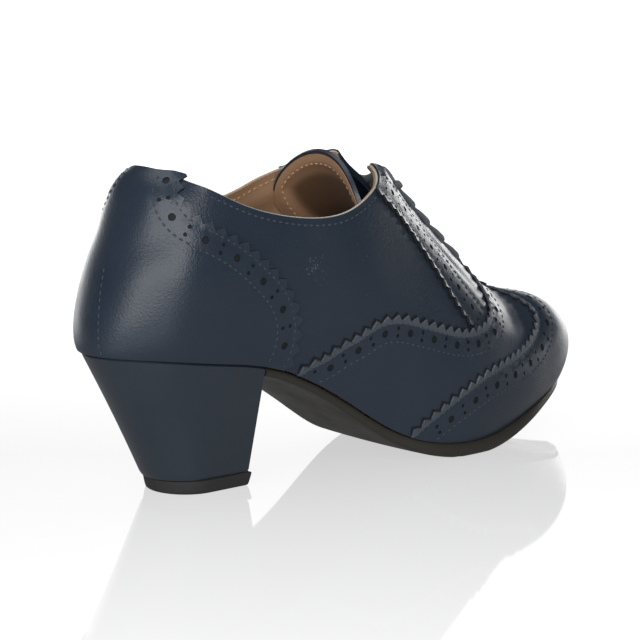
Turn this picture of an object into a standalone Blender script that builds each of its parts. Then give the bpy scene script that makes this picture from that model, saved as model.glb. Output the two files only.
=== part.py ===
"""Right shoe of a heeled lace-up brogue: upper, sole, heel, insole, tongue and lace.

The whole shoe follows one last, given as a table of sections from the back of the heel
to the toe tip. Work is done in millimetres with the toe along +X and the inner side of
the foot along +Y; the finished pieces are moved so that the origin is on the floor
under the middle of the shoe.
"""
import bpy
import bmesh
import numpy as np
from collections import namedtuple

OBJECT_NAME = "brogue_ankle_boot"
MM = 0.001

WALL = 2.0              # leather and lining of the upper
MEET = 0.3              # space left between pieces that touch
QUARTER_COLUMNS = 20    # upper columns on each side, from the back to the facing
FACING_COLUMNS = 9      # along the lace gap
TOE_COLUMNS = 12        # from the throat to the toe tip
ROWS = 12               # upper rows from sole to top edge
SOLE_COLUMNS = 34       # outsole, along each side
INSOLE_COLUMNS = 30     # insole, along each side
HEEL_COLUMNS = 19       # heel block and top piece, along each side
TONGUE_COLUMNS = 17     # across the tongue
TONGUE_ROWS = 22        # along the tongue
LACE_STEPS = 9          # along one lace strand
LACE_SIDES = 8          # round one lace strand

BREAST_X = 57.5         # front face of the heel under the seat
HEEL_SETBACK = 0.8      # heel cover stays inside the upper by this much
HEEL_FOOT_BACK = 24.4   # heel foot, from its back
HEEL_FOOT_FRONT = 57.0  # to its front face
HEEL_FOOT_HALF = 15.2   # and half its width
HEEL_FOOT_ROUND = 0.95  # depth of its round back as a share of the half width
TOP_PIECE = 5.5         # rubber under the heel
TOP_PIECE_LIP = 0.5     # it stands this far proud of the heel foot
TOP_PIECE_FLARE = 1.2   # and this much more at its upper edge

INSOLE = 2.0            # insole board
INSOLE_INSET = 3.0      # measured from the sole line
INSOLE_LIFT = 0.2       # underside above the sole line

TONGUE = 1.8            # tongue leather and lining
TONGUE_ROUND = 24.0     # radius of its free end

FACING_TOP_X = 129.6    # section that passes the top corner of the facing
THROAT_X = 187.0        # lower end of the lace gap
GAP_TOP = 14.0          # half of the lace gap at the top
GAP_THROAT = 2.4        # and at the throat

EYELET_FIRST_X = 137.0  # top pair of eyelets
EYELET_STEP_X = 8.8     # next pair, measured along the foot
EYELET_PAIRS = 5
EYELET_INSET = 4.5      # from the edge of the lace gap
LACE_WIDTH = 4.6
LACE_THICK = 1.6
LACE_LIFT = 1.5         # middle of the lace above the leather
LACE_BOW = 1.2          # rise of the lace over the open gap
LACE_CROWN = 1.4        # further lift where the crossings meet
LACE_PAST = 0.8         # a strand runs this far past its eyelet
INSTEP_FALL = (0.72, 0.0, -0.69)    # direction of the instep, downhill to the toe

# One row per section. x, lateral, medial and z are the line where upper meets sole;
# top_x, top_half and top_z are the upper end of the section, on the instep ridge where
# top_half is 0. low and high are the lean in degrees at the two ends, full_low and
# full_high the strength of that lean.
Section = namedtuple("Section", "x lateral medial z top_x top_half top_z low high full_low full_high")
LAST = (
    Section(-7.0, 0.0, 0.0, 57.8, 25.0, 0.0, 150.0, 27, 19, 0.10, 0.40),
    Section(-0.3, 15.4, 15.4, 57.5, 27.0, 7.6, 150.0, 26, 20, 0.16, 0.40),
    Section(13.0, 23.8, 23.8, 56.2, 32.0, 13.0, 150.0, 24, 18, 0.25, 0.40),
    Section(34.0, 27.2, 26.8, 53.0, 43.5, 17.0, 150.5, 20, 16, 0.30, 0.38),
    Section(62.5, 27.6, 25.7, 47.2, 66.0, 18.5, 151.5, 18, 19, 0.35, 0.36),
    Section(95.0, 28.8, 22.3, 31.0, 93.7, 16.5, 149.5, 17, 31, 0.37, 0.33),
    Section(122.0, 31.0, 23.5, 14.0, 120.0, 10.8, 130.8, 17, 51, 0.38, 0.22),
    Section(149.0, 34.0, 30.2, 6.2, 143.0, 6.5, 105.0, 17, 68, 0.38, 0.19),
    Section(171.0, 33.3, 35.4, 6.0, 166.0, 3.5, 83.5, 19, 80, 0.38, 0.22),
    Section(195.0, 27.8, 35.5, 10.5, 187.3, 0.0, 64.8, 21, 90, 0.40, 0.29),
    Section(215.3, 19.3, 28.5, 14.2, 202.5, 0.0, 58.0, 23, 90, 0.42, 0.37),
    Section(233.3, 9.3, 17.6, 17.0, 211.3, 0.0, 56.2, 26, 90, 0.46, 0.42),
    Section(242.3, -3.0, 3.0, 17.0, 215.0, 0.0, 55.2, 28, 90, 0.48, 0.43),
)

# Collar line in side view, from the back to the top corner of the facing.
CollarPoint = namedtuple("CollarPoint", "x z")
COLLAR = (
    CollarPoint(6.0, 126.5),
    CollarPoint(16.0, 125.8),
    CollarPoint(28.0, 121.6),
    CollarPoint(46.0, 112.5),
    CollarPoint(70.0, 105.5),
    CollarPoint(92.0, 105.0),
    CollarPoint(110.0, 110.8),
    CollarPoint(121.0, 114.5),
    CollarPoint(129.0, 116.5),
)

# Outsole, along the foot: how far it stands out from the sole line and how thick it is.
SolePoint = namedtuple("SolePoint", "x reach thick")
SOLE = (
    SolePoint(52.0, -1.2, 4.0),
    SolePoint(100.0, -0.6, 4.6),
    SolePoint(145.0, 1.4, 6.0),
    SolePoint(225.0, 1.2, 5.2),
    SolePoint(245.0, 0.6, 4.4),
)

# Rounded edge of the outsole: how far each level stands out and its share of the depth.
EdgeLevel = namedtuple("EdgeLevel", "out depth")
SOLE_EDGE = (
    EdgeLevel(-1.0, 0.0),
    EdgeLevel(0.0, 0.18),
    EdgeLevel(0.2, 0.5),
    EdgeLevel(0.0, 0.82),
    EdgeLevel(-1.4, 1.0),
)

# Tongue, along its middle line: half width and how far its sides fall back.
TonguePoint = namedtuple("TonguePoint", "x z half fall")
TONGUE_LINE = (
    TonguePoint(197.0, 56.0, 7.0, 2.5),
    TonguePoint(183.0, 62.0, 10.0, 4.0),
    TonguePoint(163.0, 74.0, 13.0, 6.0),
    TonguePoint(143.0, 87.0, 17.0, 8.0),
    TonguePoint(126.0, 99.5, 22.0, 9.0),
    TonguePoint(115.0, 111.0, 26.0, 9.0),
    TonguePoint(111.0, 124.5, 27.5, 8.0),
)


def column(rows, name):
    """Return one named column of a table as an array."""
    return np.array([getattr(row, name) for row in rows], float)


def cubic(knots, values, closed=False):
    """Return a smooth curve through values; a closed one has one more knot than values."""
    knots = np.asarray(knots, float)
    values = np.asarray(values, float)
    count = len(values)
    step = np.diff(knots)
    matrix = np.zeros((count, count))
    right = np.zeros_like(values)
    for i in range(count):
        if not closed and i in (0, count - 1):
            matrix[i, i] = 1.0
            continue
        before = step[i - 1]
        after = step[i]
        ahead = (i + 1) % count
        matrix[i, i - 1] += before
        matrix[i, i] += 2.0 * (before + after)
        matrix[i, ahead] += after
        right[i] = 6.0 * ((values[ahead] - values[i]) / after - (values[i] - values[i - 1]) / before)
    bend = np.linalg.solve(matrix, right)

    def curve(at):
        at = np.asarray(at, float)
        at = np.mod(at, knots[-1]) if closed else np.clip(at, knots[0], knots[-1])
        i = np.clip(np.searchsorted(knots, at, side="right") - 1, 0, len(step) - 1)
        j = (i + 1) % count
        near = (knots[i + 1] - at) / step[i]
        far = (at - knots[i]) / step[i]
        weights = (near, far, (near**3 - near) * step[i] ** 2 / 6.0, (far**3 - far) * step[i] ** 2 / 6.0)
        spread = [w.reshape(w.shape + (1,) * (values.ndim - 1)) for w in weights]
        return spread[0] * values[i] + spread[1] * values[j] + spread[2] * bend[i] + spread[3] * bend[j]

    return curve


def steady(knots, values):
    """Return a closed curve through values that never swings past them."""
    knots = np.asarray(knots, float)
    values = np.asarray(values, float)
    count = len(values)
    step = np.diff(knots)
    rate = (np.roll(values, -1) - values) / step
    before = np.roll(rate, 1)
    same = before * rate > 0.0
    slope = np.where(same, 2.0 * before * rate / np.where(same, before + rate, 1.0), 0.0)

    def curve(at):
        at = np.mod(np.asarray(at, float), knots[-1])
        i = np.clip(np.searchsorted(knots, at, side="right") - 1, 0, count - 1)
        j = (i + 1) % count
        t = (at - knots[i]) / step[i]
        ease = t * t * (3.0 - 2.0 * t)
        tilt = slope[i] * t * (1.0 - t) ** 2 - slope[j] * t * t * (1.0 - t)
        return values[i] * (1.0 - ease) + values[j] * ease + tilt * step[i]

    return curve


class Last:
    """The form the upper is pulled over: u runs round the shoe, v from sole line to top."""

    def __init__(self, rows):
        count = len(rows)
        order = list(range(count)) + list(range(count - 2, 0, -1))
        side = np.array([0] + [-1] * (count - 2) + [0] + [1] * (count - 2))
        loop = {name: column(rows, name)[order] for name in Section._fields}
        across = np.where(side < 0, -loop["lateral"], loop["medial"])
        sole = np.stack([loop["x"], across, loop["z"]], 1)
        top = np.stack([loop["top_x"], side * loop["top_half"], loop["top_z"]], 1)
        lean = np.stack([loop[name] for name in ("low", "high", "full_low", "full_high")], 1)
        ring = np.vstack([sole, sole[:1]])[:, :2]
        steps = np.linalg.norm(np.diff(ring, axis=0), axis=1) ** 0.75
        knots = np.concatenate([[0.0], np.cumsum(steps)]) / steps.sum()
        self.tip = knots[count - 1]
        self.smooth = cubic(knots, np.hstack([sole, top, lean]), closed=True)
        self.top_across = steady(knots, top[:, 1])
        self.ridge = cubic(column(rows, "top_x"), column(rows, "top_z"))

    def values(self, u):
        """Return the table read between its rows: sole line, top, lean and fullness."""
        row = self.smooth(u)
        row[..., 4] = self.top_across(u)
        return row

    def outward(self, u):
        """Return the level direction that leaves the shoe square to its sole line."""
        u = np.asarray(u, float)
        along = self.values(u + 1e-4)[..., :2] - self.values(u - 1e-4)[..., :2]
        along /= np.linalg.norm(along, axis=-1, keepdims=True)
        return np.stack([along[..., 1], -along[..., 0]], -1)

    def point(self, u, v):
        """Return points of the form in millimetres."""
        u, v = np.broadcast_arrays(np.asarray(u, float), np.asarray(v, float))
        row = self.values(u)
        sole = row[..., 0:3]
        top = row[..., 3:6]
        low, high = np.radians(row[..., 6]), np.radians(row[..., 7])
        reach = np.linalg.norm(top - sole, axis=-1)
        out = self.outward(u)
        slope = (self.ridge(row[..., 3] + 0.5) - self.ridge(row[..., 3] - 0.5)) / 1.0
        rise = np.stack([out[..., 0] * np.sin(low), out[..., 1] * np.sin(low), np.cos(low)], -1)
        ending = np.cos(high) - out[..., 0] * np.sin(high) * slope
        arrive = np.stack([-out[..., 0] * np.sin(high), -out[..., 1] * np.sin(high), ending], -1)
        first = sole + rise * (row[..., 8] * reach)[..., None]
        second = top - arrive * (row[..., 9] * reach)[..., None]
        w = v[..., None]
        return (1 - w) ** 3 * sole + 3 * (1 - w) ** 2 * w * first + 3 * (1 - w) * w**2 * second + w**3 * top

    def at_top_x(self, x, side):
        """Return u where the section top has this x, on side -1 (outer) or 1 (inner)."""
        low, high = (0.0, self.tip) if side < 0 else (1.0, self.tip)
        for _ in range(60):
            middle = 0.5 * (low + high)
            low, high = (middle, high) if self.values(middle)[3] < x else (low, middle)
        return 0.5 * (low + high)

    def at_sole_x(self, x, side):
        """Return u where the sole line has this x, on one side."""
        low, high = (0.0, self.tip) if side < 0 else (1.0, self.tip)
        for _ in range(60):
            middle = 0.5 * (low + high)
            low, high = (middle, high) if self.values(middle)[0] < x else (low, middle)
        return 0.5 * (low + high)

    def over_instep(self, top_x, across):
        """Return the point near the ridge that lies this far across the shoe."""
        u = self.at_top_x(top_x, -1 if across < 0 else 1)
        low, high = 0.4, 1.0
        for _ in range(50):
            middle = 0.5 * (low + high)
            low, high = (middle, high) if abs(self.point(u, middle)[1]) > abs(across) else (low, middle)
        return self.point(u, 0.5 * (low + high))


def half_gap(x):
    """Return half the lace gap at x; none in front of the throat."""
    corner = COLLAR[-1].x
    width = np.interp(x, [corner, THROAT_X], [GAP_TOP, GAP_THROAT])
    return np.where((x > corner - 8.0) & (x < THROAT_X), width, -1.0)


def top_edge(last, u):
    """Return v where the leather ends: at the collar, the lace gap or the ridge."""
    collar = cubic(column(COLLAR, "x"), column(COLLAR, "z"))
    v = np.linspace(0.3, 1.0, 400)
    p = last.point(u, v)
    beyond = np.maximum(p[:, 0] - COLLAR[-1].x, 0.0) * 4.0
    over = np.maximum(p[:, 2] - collar(p[:, 0]) - beyond, half_gap(p[:, 0]) - np.abs(p[:, 1]))
    cut = np.nonzero(over > 0.0)[0]
    if len(cut) == 0:
        return 1.0
    k = cut[0]
    return float(v[k - 1] + (v[k] - v[k - 1]) * over[k - 1] / (over[k - 1] - over[k]))


def add_object(name, verts, faces, material, collection):
    """Add a mesh object from points in millimetres and return it."""
    mesh = bpy.data.meshes.new(name)
    mesh.from_pydata([tuple(p * MM) for p in np.asarray(verts, float)], [], faces)
    work = bmesh.new()
    work.from_mesh(mesh)
    bmesh.ops.remove_doubles(work, verts=work.verts[:], dist=1e-5)
    bmesh.ops.dissolve_degenerate(work, edges=work.edges[:], dist=1e-6)
    bmesh.ops.recalc_face_normals(work, faces=work.faces[:])
    work.to_mesh(mesh)
    work.free()
    mesh.materials.append(material)
    thing = bpy.data.objects.new(name, mesh)
    collection.objects.link(thing)
    return thing


def thicken(thing, thickness, offset):
    """Give a sheet a real wall; offset -1 grows it against its normals."""
    solid = thing.modifiers.new("wall", "SOLIDIFY")
    solid.thickness = thickness * MM
    solid.offset = offset
    solid.use_even_offset = True
    solid.use_rim = True


def slab(name, levels, material, collection):
    """Add a solid from levels; each level is two side lines, paired from end to end."""
    verts = []
    faces = []
    count = len(levels[0][0])
    for lateral, medial in levels:
        verts += list(lateral) + list(medial[::-1])
    ring = 2 * count
    for k in range(len(levels) - 1):
        for i in range(ring):
            j = (i + 1) % ring
            faces.append((k * ring + i, k * ring + j, (k + 1) * ring + j, (k + 1) * ring + i))
    for base in (0, (len(levels) - 1) * ring):
        for i in range(count - 1):
            faces.append((base + i, base + i + 1, base + ring - 2 - i, base + ring - 1 - i))
    return add_object(name, verts, faces, material, collection)


def make_upper(last, material, collection):
    """Upper: the form up to its top edge, one sheet with a real wall inside."""
    corner = last.at_top_x(FACING_TOP_X, -1)
    before = last.at_top_x(THROAT_X - 1.2, -1)
    throat = last.at_top_x(THROAT_X + 0.3, -1)
    spans = (
        (0.0, corner, QUARTER_COLUMNS),
        (corner, before, FACING_COLUMNS),
        (throat, last.tip, TOE_COLUMNS),
    )
    lateral = np.concatenate([np.linspace(start, end, count + 1) for start, end, count in spans])
    lateral = sorted(set(lateral))
    tops = [float(last.values(u)[3]) for u in lateral]
    medial = [last.at_top_x(x, 1) for x in tops[1:-1]]
    loop = lateral + medial[::-1]
    share = np.linspace(0.0, 1.0, ROWS + 1)
    verts = np.concatenate([last.point(np.full(ROWS + 1, u), share * top_edge(last, u)) for u in loop])
    faces = []
    for i in range(len(loop)):
        here = i * (ROWS + 1)
        ahead = (i + 1) % len(loop) * (ROWS + 1)
        for k in range(ROWS):
            faces.append((here + k, ahead + k, ahead + k + 1, here + k + 1))
    upper = add_object("upper", verts, faces, material, collection)
    thicken(upper, WALL, -1.0)
    return upper


def side_lines(last, start_x, count, reach, drop):
    """Return the outer and inner sole lines from start_x to the toe, moved out and down."""
    lines = []
    for side in (-1, 1):
        u = np.linspace(last.at_sole_x(start_x, side), last.tip, count)
        line = last.values(u)[:, :3].copy()
        x = line[:, 0]
        line[:, :2] += last.outward(u) * np.asarray(reach(x)).reshape(-1, 1)
        line[:, 2] = np.maximum(line[:, 2] - drop(x), 0.0)
        lines.append(line)
    middle = 0.5 * (lines[0][-1] + lines[1][-1])
    lines[0][-1] = middle
    lines[1][-1] = middle
    return lines


def make_outsole(last, material, collection):
    """Outsole from the heel front to the toe, with arch, toe spring and a rounded edge."""
    x = column(SOLE, "x")
    reach = cubic(x, column(SOLE, "reach"))
    thick = cubic(x, column(SOLE, "thick"))
    levels = []
    for level in SOLE_EDGE:
        levels.append(side_lines(
            last, BREAST_X + 2.0 * MEET, SOLE_COLUMNS,
            lambda at, out=level.out: reach(at) + out,
            lambda at, depth=level.depth: MEET + depth * (thick(at) - MEET)))
    return slab("outsole", levels, material, collection)


def heel_line(last, count, inset, drop):
    """Return the seat outline from back to front on both sides, moved in and down."""
    lines = []
    for side in (-1, 1):
        front = last.at_sole_x(BREAST_X, side)
        back = 0.0 if side < 0 else 1.0
        u = np.linspace(back, front, count)
        line = last.values(u)[:, :3].copy()
        line[:, :2] -= last.outward(u) * inset
        line[:, 2] -= drop
        lines.append(line)
    return lines


def foot_line(count, grow, z):
    """Return the D-shaped heel foot from back to front on both sides at height z."""
    half = HEEL_FOOT_HALF + grow
    back = HEEL_FOOT_BACK - grow
    front = HEEL_FOOT_FRONT + grow
    turn = np.linspace(0.0, 0.5 * np.pi, 80)
    depth = HEEL_FOOT_ROUND * half
    curve = np.stack([back + depth * (1.0 - np.cos(turn)), half * np.sin(turn)], 1)
    curve = np.vstack([curve, [[front, half]]])
    length = np.concatenate([[0.0], np.cumsum(np.linalg.norm(np.diff(curve, axis=0), axis=1))])
    at = np.linspace(0.0, length[-1], count)
    x = np.interp(at, length, curve[:, 0])
    y = np.interp(at, length, curve[:, 1])
    return [np.stack([x, side * y, np.full(count, z)], 1) for side in (-1, 1)]


def blend(low, high, share):
    """Return side lines part of the way from low to high."""
    return [a + (b - a) * share for a, b in zip(low, high)]


def make_heel(last, cover, rubber, collection):
    """Covered heel block and the rubber top piece under it."""
    seat = heel_line(last, HEEL_COLUMNS, HEEL_SETBACK, MEET)
    foot = foot_line(HEEL_COLUMNS, 0.0, 0.0)
    height = TOP_PIECE + MEET
    ankle = [line.copy() for line in foot]
    for k, line in enumerate(ankle):
        line += (seat[k] - foot[k]) * (height / seat[k][:, 2:3])
        line[:, 2] = height
    levels = [blend(ankle, seat, share) for share in (0.0, 0.25, 0.5, 0.75, 1.0)]
    block = slab("heel_block", levels, cover, collection)
    lip = foot_line(HEEL_COLUMNS, TOP_PIECE_LIP, 0.0)
    lip_top = foot_line(HEEL_COLUMNS, TOP_PIECE_LIP + TOP_PIECE_FLARE, TOP_PIECE)
    piece = slab("heel_top_piece", [lip, lip_top], rubber, collection)
    return [block, piece]


def make_insole(last, material, collection):
    """Insole board that lies on the sole inside the upper."""
    levels = []
    for height in (INSOLE_LIFT, INSOLE_LIFT + INSOLE):
        lines = []
        for side in (-1, 1):
            u = np.linspace(0.0 if side < 0 else 1.0, last.tip, INSOLE_COLUMNS)
            line = last.values(u)[:, :3].copy()
            line[:, :2] -= last.outward(u) * INSOLE_INSET
            line[:, 2] += height
            lines.append(line)
        levels.append(lines)
    return slab("insole", levels, material, collection)


def make_tongue(material, collection):
    """Tongue: a curved strip under the lace gap with a rounded free end."""
    line = np.stack([column(TONGUE_LINE, "x"), column(TONGUE_LINE, "z")], 1)
    length = np.concatenate([[0.0], np.cumsum(np.linalg.norm(np.diff(line, axis=0), axis=1))])
    shape = cubic(length, np.column_stack([line, column(TONGUE_LINE, "half"), column(TONGUE_LINE, "fall")]))
    across = np.linspace(-1.0, 1.0, TONGUE_COLUMNS)
    rows = np.linspace(0.0, 1.0, TONGUE_ROWS)
    verts = []
    for w in across:
        end = length[-1] - TONGUE_ROUND * (1.0 - np.sqrt(max(1.0 - w * w, 0.0)))
        at = rows * end
        spot = shape(at)
        along = shape(at + 0.5)[:, :2] - shape(at - 0.5)[:, :2]
        along /= np.linalg.norm(along, axis=1, keepdims=True)
        inward = np.stack([-along[:, 1], along[:, 0]], 1)
        inward *= -np.sign(inward[:, 1:2])
        middle = spot[:, :2] + inward * (spot[:, 3:4] * w * w)
        verts += list(np.stack([middle[:, 0], w * spot[:, 2], middle[:, 1]], 1))
    count = len(rows)
    faces = []
    for i in range(len(across) - 1):
        for k in range(count - 1):
            faces.append((i * count + k, (i + 1) * count + k, (i + 1) * count + k + 1, i * count + k + 1))
    tongue = add_object("tongue", verts, faces, material, collection)
    thicken(tongue, TONGUE, 0.0)
    return tongue


def strand(last, start, end, lift):
    """Return points and faces of one flat lace strand laid across the lace gap."""
    path = []
    for t in np.linspace(0.0, 1.0, LACE_STEPS):
        x = start[0] + (end[0] - start[0]) * t
        across = start[1] + (end[1] - start[1]) * t
        edge = float(half_gap(np.array(x))) + 1.0
        if abs(across) < edge:
            outer = last.over_instep(x, -edge)
            inner = last.over_instep(x, edge)
            spot = outer + (inner - outer) * (0.5 + 0.5 * across / edge)
            spot[2] += LACE_BOW * (1.0 - (across / edge) ** 2)
        else:
            spot = last.over_instep(x, across)
        path.append(spot)
    path = np.array(path)
    along = np.gradient(path, axis=0)
    along /= np.linalg.norm(along, axis=1, keepdims=True)
    up = np.cross(np.array(INSTEP_FALL), along)
    up *= np.sign(up[:, 2:3])
    up /= np.linalg.norm(up, axis=1, keepdims=True)
    wide = np.cross(along, up)
    rise = LACE_LIFT + lift * np.sin(np.linspace(0.0, np.pi, LACE_STEPS))
    path = path + up * rise[:, None]
    turn = np.linspace(0.0, 2.0 * np.pi, LACE_SIDES, endpoint=False) + np.pi / LACE_SIDES
    verts = []
    for k in range(LACE_STEPS):
        side = np.outer(np.cos(turn), 0.5 * LACE_WIDTH * wide[k])
        verts += list(path[k] + side + np.outer(np.sin(turn), 0.5 * LACE_THICK * up[k]))
    first = range(LACE_SIDES - 1, -1, -1)
    final = range(LACE_SIDES * (LACE_STEPS - 1), LACE_SIDES * LACE_STEPS)
    faces = [tuple(first), tuple(final)]
    for k in range(LACE_STEPS - 1):
        here = k * LACE_SIDES
        ahead = here + LACE_SIDES
        for i in range(LACE_SIDES):
            j = (i + 1) % LACE_SIDES
            faces.append((here + i, here + j, ahead + j, ahead + i))
    return verts, faces


def make_lace(last, material, collection, cutters):
    """Lace: crossed strands from eyelet to eyelet and a bar at the lowest pair, joined."""
    pairs = [EYELET_FIRST_X + k * EYELET_STEP_X for k in range(EYELET_PAIRS)]
    reach = [float(half_gap(np.array(x))) + EYELET_INSET for x in pairs]
    runs = []
    past = 0.1 * EYELET_STEP_X
    for k in range(EYELET_PAIRS - 1):
        high = pairs[k] - past
        low = pairs[k + 1] + past
        above = reach[k] + LACE_PAST
        below = reach[k + 1] + LACE_PAST
        runs.append(((high, -above), (low, below), LACE_CROWN))
        runs.append(((high, above), (low, -below), 0.4 * LACE_CROWN))
    end = reach[-1] + 0.5 * LACE_PAST
    runs.append(((pairs[-1], -end), (pairs[-1], end), 0.2 * LACE_CROWN))
    lace = None
    for number, (start, end, lift) in enumerate(runs):
        verts, faces = strand(last, start, end, lift)
        if lace is None:
            lace = add_object("lace", verts, faces, material, collection)
            continue
        piece = add_object("lace_run_%d" % number, verts, faces, material, cutters)
        piece.hide_render = True
        piece.display_type = "WIRE"
        join = lace.modifiers.new("join_%d" % number, "BOOLEAN")
        join.operation = "UNION"
        join.solver = "EXACT"
        join.object = piece
    return lace


def finish(name, colour, roughness):
    """Return a new plain material."""
    material = bpy.data.materials.new(name)
    material.use_nodes = True
    shader = material.node_tree.nodes["Principled BSDF"]
    shader.inputs["Base Color"].default_value = (*colour, 1.0)
    shader.inputs["Roughness"].default_value = roughness
    material.diffuse_color = (*colour, 1.0)
    return material


def main():
    """Build the shoe and set its origin on the floor under its middle."""
    for thing in list(bpy.data.objects):
        bpy.data.objects.remove(thing, do_unlink=True)
    collection = bpy.data.collections.new(OBJECT_NAME)
    cutters = bpy.data.collections.new("cutters")
    bpy.context.scene.collection.children.link(collection)
    bpy.context.scene.collection.children.link(cutters)

    navy = finish("navy_leather", (0.022, 0.032, 0.045), 0.42)
    cover = finish("heel_cover_leather", (0.030, 0.040, 0.050), 0.45)
    rubber = finish("heel_rubber", (0.030, 0.030, 0.030), 0.70)
    sole = finish("sole_rubber", (0.050, 0.048, 0.044), 0.60)
    board = finish("insole_leather", (0.270, 0.180, 0.115), 0.70)
    lining = finish("tongue_leather", (0.022, 0.032, 0.045), 0.50)
    cord = finish("lace_cotton", (0.020, 0.026, 0.034), 0.80)

    last = Last(LAST)
    upper = make_upper(last, navy, collection)
    make_outsole(last, sole, collection)
    make_heel(last, cover, rubber, collection)
    make_insole(last, board, collection)
    make_tongue(lining, collection)
    make_lace(last, cord, collection, cutters)

    corners = np.array([v.co for v in upper.data.vertices])
    middle = 0.5 * (corners.min(axis=0) + corners.max(axis=0))
    for thing in list(collection.objects) + list(cutters.objects):
        for vert in thing.data.vertices:
            vert.co.x -= middle[0]
            vert.co.y -= middle[1]


main()
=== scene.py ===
"""Looks of a heeled lace-up brogue, right shoe: panels, stitching, lining, lace, sole and studio.

Shapes are worked out in millimetres on the last, with the toe along +X and the inner side
of the foot along +Y. They are put into the frame's metres when a mesh is made.
"""

import logging
import math
from contextlib import contextmanager
from dataclasses import dataclass, field
from enum import Enum
from typing import Any, Callable, Iterator, NamedTuple, Optional, Sequence

import bpy
import numpy as np
from mathutils import Matrix, Vector
from mathutils.geometry import delaunay_2d_cdt


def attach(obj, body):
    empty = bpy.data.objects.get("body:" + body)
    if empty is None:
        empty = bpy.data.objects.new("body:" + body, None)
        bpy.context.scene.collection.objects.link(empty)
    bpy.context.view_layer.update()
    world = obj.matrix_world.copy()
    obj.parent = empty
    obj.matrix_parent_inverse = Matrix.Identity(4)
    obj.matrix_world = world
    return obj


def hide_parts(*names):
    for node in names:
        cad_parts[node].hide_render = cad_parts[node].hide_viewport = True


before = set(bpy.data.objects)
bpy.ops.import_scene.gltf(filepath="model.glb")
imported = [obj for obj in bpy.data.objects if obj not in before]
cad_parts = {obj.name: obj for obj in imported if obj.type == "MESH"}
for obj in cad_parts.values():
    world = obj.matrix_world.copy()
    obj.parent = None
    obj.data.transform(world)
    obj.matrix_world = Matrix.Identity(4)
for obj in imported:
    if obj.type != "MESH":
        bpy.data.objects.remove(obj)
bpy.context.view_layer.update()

Array = np.ndarray
Thing = bpy.types.Object
Material = bpy.types.Material
Shape = Callable[[Array, Array], Array]
LOG = logging.getLogger("brogue")
MM = 0.001
MERGE = 2e-5            # points nearer than this are one, in metres
MIDDLE = np.array([118.97, 0.65, 0.0])  # the frame's origin, in the last's millimetres
BODY = "root"
PAINTED_SHADE = "worn"           # vertex attribute: how far the tongue lining is darkened by painted shade
BEYOND = "beyond"       # vertex attribute: distance outside the first stitch row


class Side(Enum):
    """Which side of the foot a piece is on."""

    OUTER = -1
    INNER = 1


class Slot(Enum):
    """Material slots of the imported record."""

    LEATHER = "navy_leather"
    HEEL = "heel_cover_leather"
    HEEL_RUBBER = "heel_rubber"
    SOLE = "sole_rubber"
    LINING = "insole_leather"
    TONGUE = "tongue_leather"
    LACE = "lace_cotton"


class Section(NamedTuple):
    """One section of the last: sole line, top, and the lean and fullness at both ends."""

    x: float
    lateral: float
    medial: float
    z: float
    top_x: float
    top_half: float
    top_z: float
    low: float
    high: float
    full_low: float
    full_high: float


class CollarPoint(NamedTuple):
    """A point of the collar line in side view."""

    x: float
    z: float


class SolePoint(NamedTuple):
    """Outsole at one place along the foot: reach beyond the sole line, and thickness."""

    x: float
    reach: float
    thick: float


class EdgeLevel(NamedTuple):
    """One level of the outsole's rounded edge: how far out, and its share of the depth."""

    out: float
    depth: float


class TonguePoint(NamedTuple):
    """Tongue along its middle line: half width and how far its sides fall back."""

    x: float
    z: float
    half: float
    fall: float


class Mark(NamedTuple):
    """A place on a panel line: section by its sole-line x, and share up that section."""

    station: float
    share: float


class Crease(NamedTuple):
    """A soft trough (depth above 0) or ridge in the leather; turn is degrees from level."""

    station: float
    share: float
    side: int
    length: float
    width: float
    turn: float
    depth: float


def marks(*rows: tuple[float, float]) -> tuple[Mark, ...]:
    """Name the columns of a panel line."""
    return tuple(Mark(*row) for row in rows)


LAST_ROWS = (
    Section(-7.0, 0.0, 0.0, 57.8, 25.0, 0.0, 150.0, 27, 19, 0.10, 0.40),
    Section(-0.3, 15.4, 15.4, 57.5, 27.0, 7.6, 150.0, 26, 20, 0.16, 0.40),
    Section(13.0, 23.8, 23.8, 56.2, 32.0, 13.0, 150.0, 24, 18, 0.25, 0.40),
    Section(34.0, 27.2, 26.8, 53.0, 43.5, 17.0, 150.5, 20, 16, 0.30, 0.38),
    Section(62.5, 27.6, 25.7, 47.2, 66.0, 18.5, 151.5, 18, 19, 0.35, 0.36),
    Section(95.0, 28.8, 22.3, 31.0, 93.7, 16.5, 149.5, 17, 31, 0.37, 0.33),
    Section(122.0, 31.0, 23.5, 14.0, 120.0, 10.8, 130.8, 17, 51, 0.38, 0.22),
    Section(149.0, 34.0, 30.2, 6.2, 143.0, 6.5, 105.0, 17, 68, 0.38, 0.19),
    Section(171.0, 33.3, 35.4, 6.0, 166.0, 3.5, 83.5, 19, 80, 0.38, 0.22),
    Section(195.0, 27.8, 35.5, 10.5, 187.3, 0.0, 64.8, 21, 90, 0.40, 0.29),
    Section(215.3, 19.3, 28.5, 14.2, 202.5, 0.0, 58.0, 23, 90, 0.42, 0.37),
    Section(233.3, 9.3, 17.6, 17.0, 211.3, 0.0, 56.2, 26, 90, 0.46, 0.42),
    Section(242.3, -3.0, 3.0, 17.0, 215.0, 0.0, 55.2, 28, 90, 0.48, 0.43),
)

COLLAR = (
    CollarPoint(6.0, 126.5),
    CollarPoint(16.0, 125.8),
    CollarPoint(28.0, 121.6),
    CollarPoint(46.0, 112.5),
    CollarPoint(70.0, 105.5),
    CollarPoint(92.0, 105.0),
    CollarPoint(110.0, 110.8),
    CollarPoint(121.0, 114.5),
    CollarPoint(129.0, 116.5),
)

SOLE_ROWS = (
    SolePoint(52.0, -1.2, 4.0),
    SolePoint(100.0, -0.6, 4.6),
    SolePoint(145.0, 1.4, 6.0),
    SolePoint(225.0, 0.2, 4.1),
    SolePoint(245.0, -1.3, 2.7),
)

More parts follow.
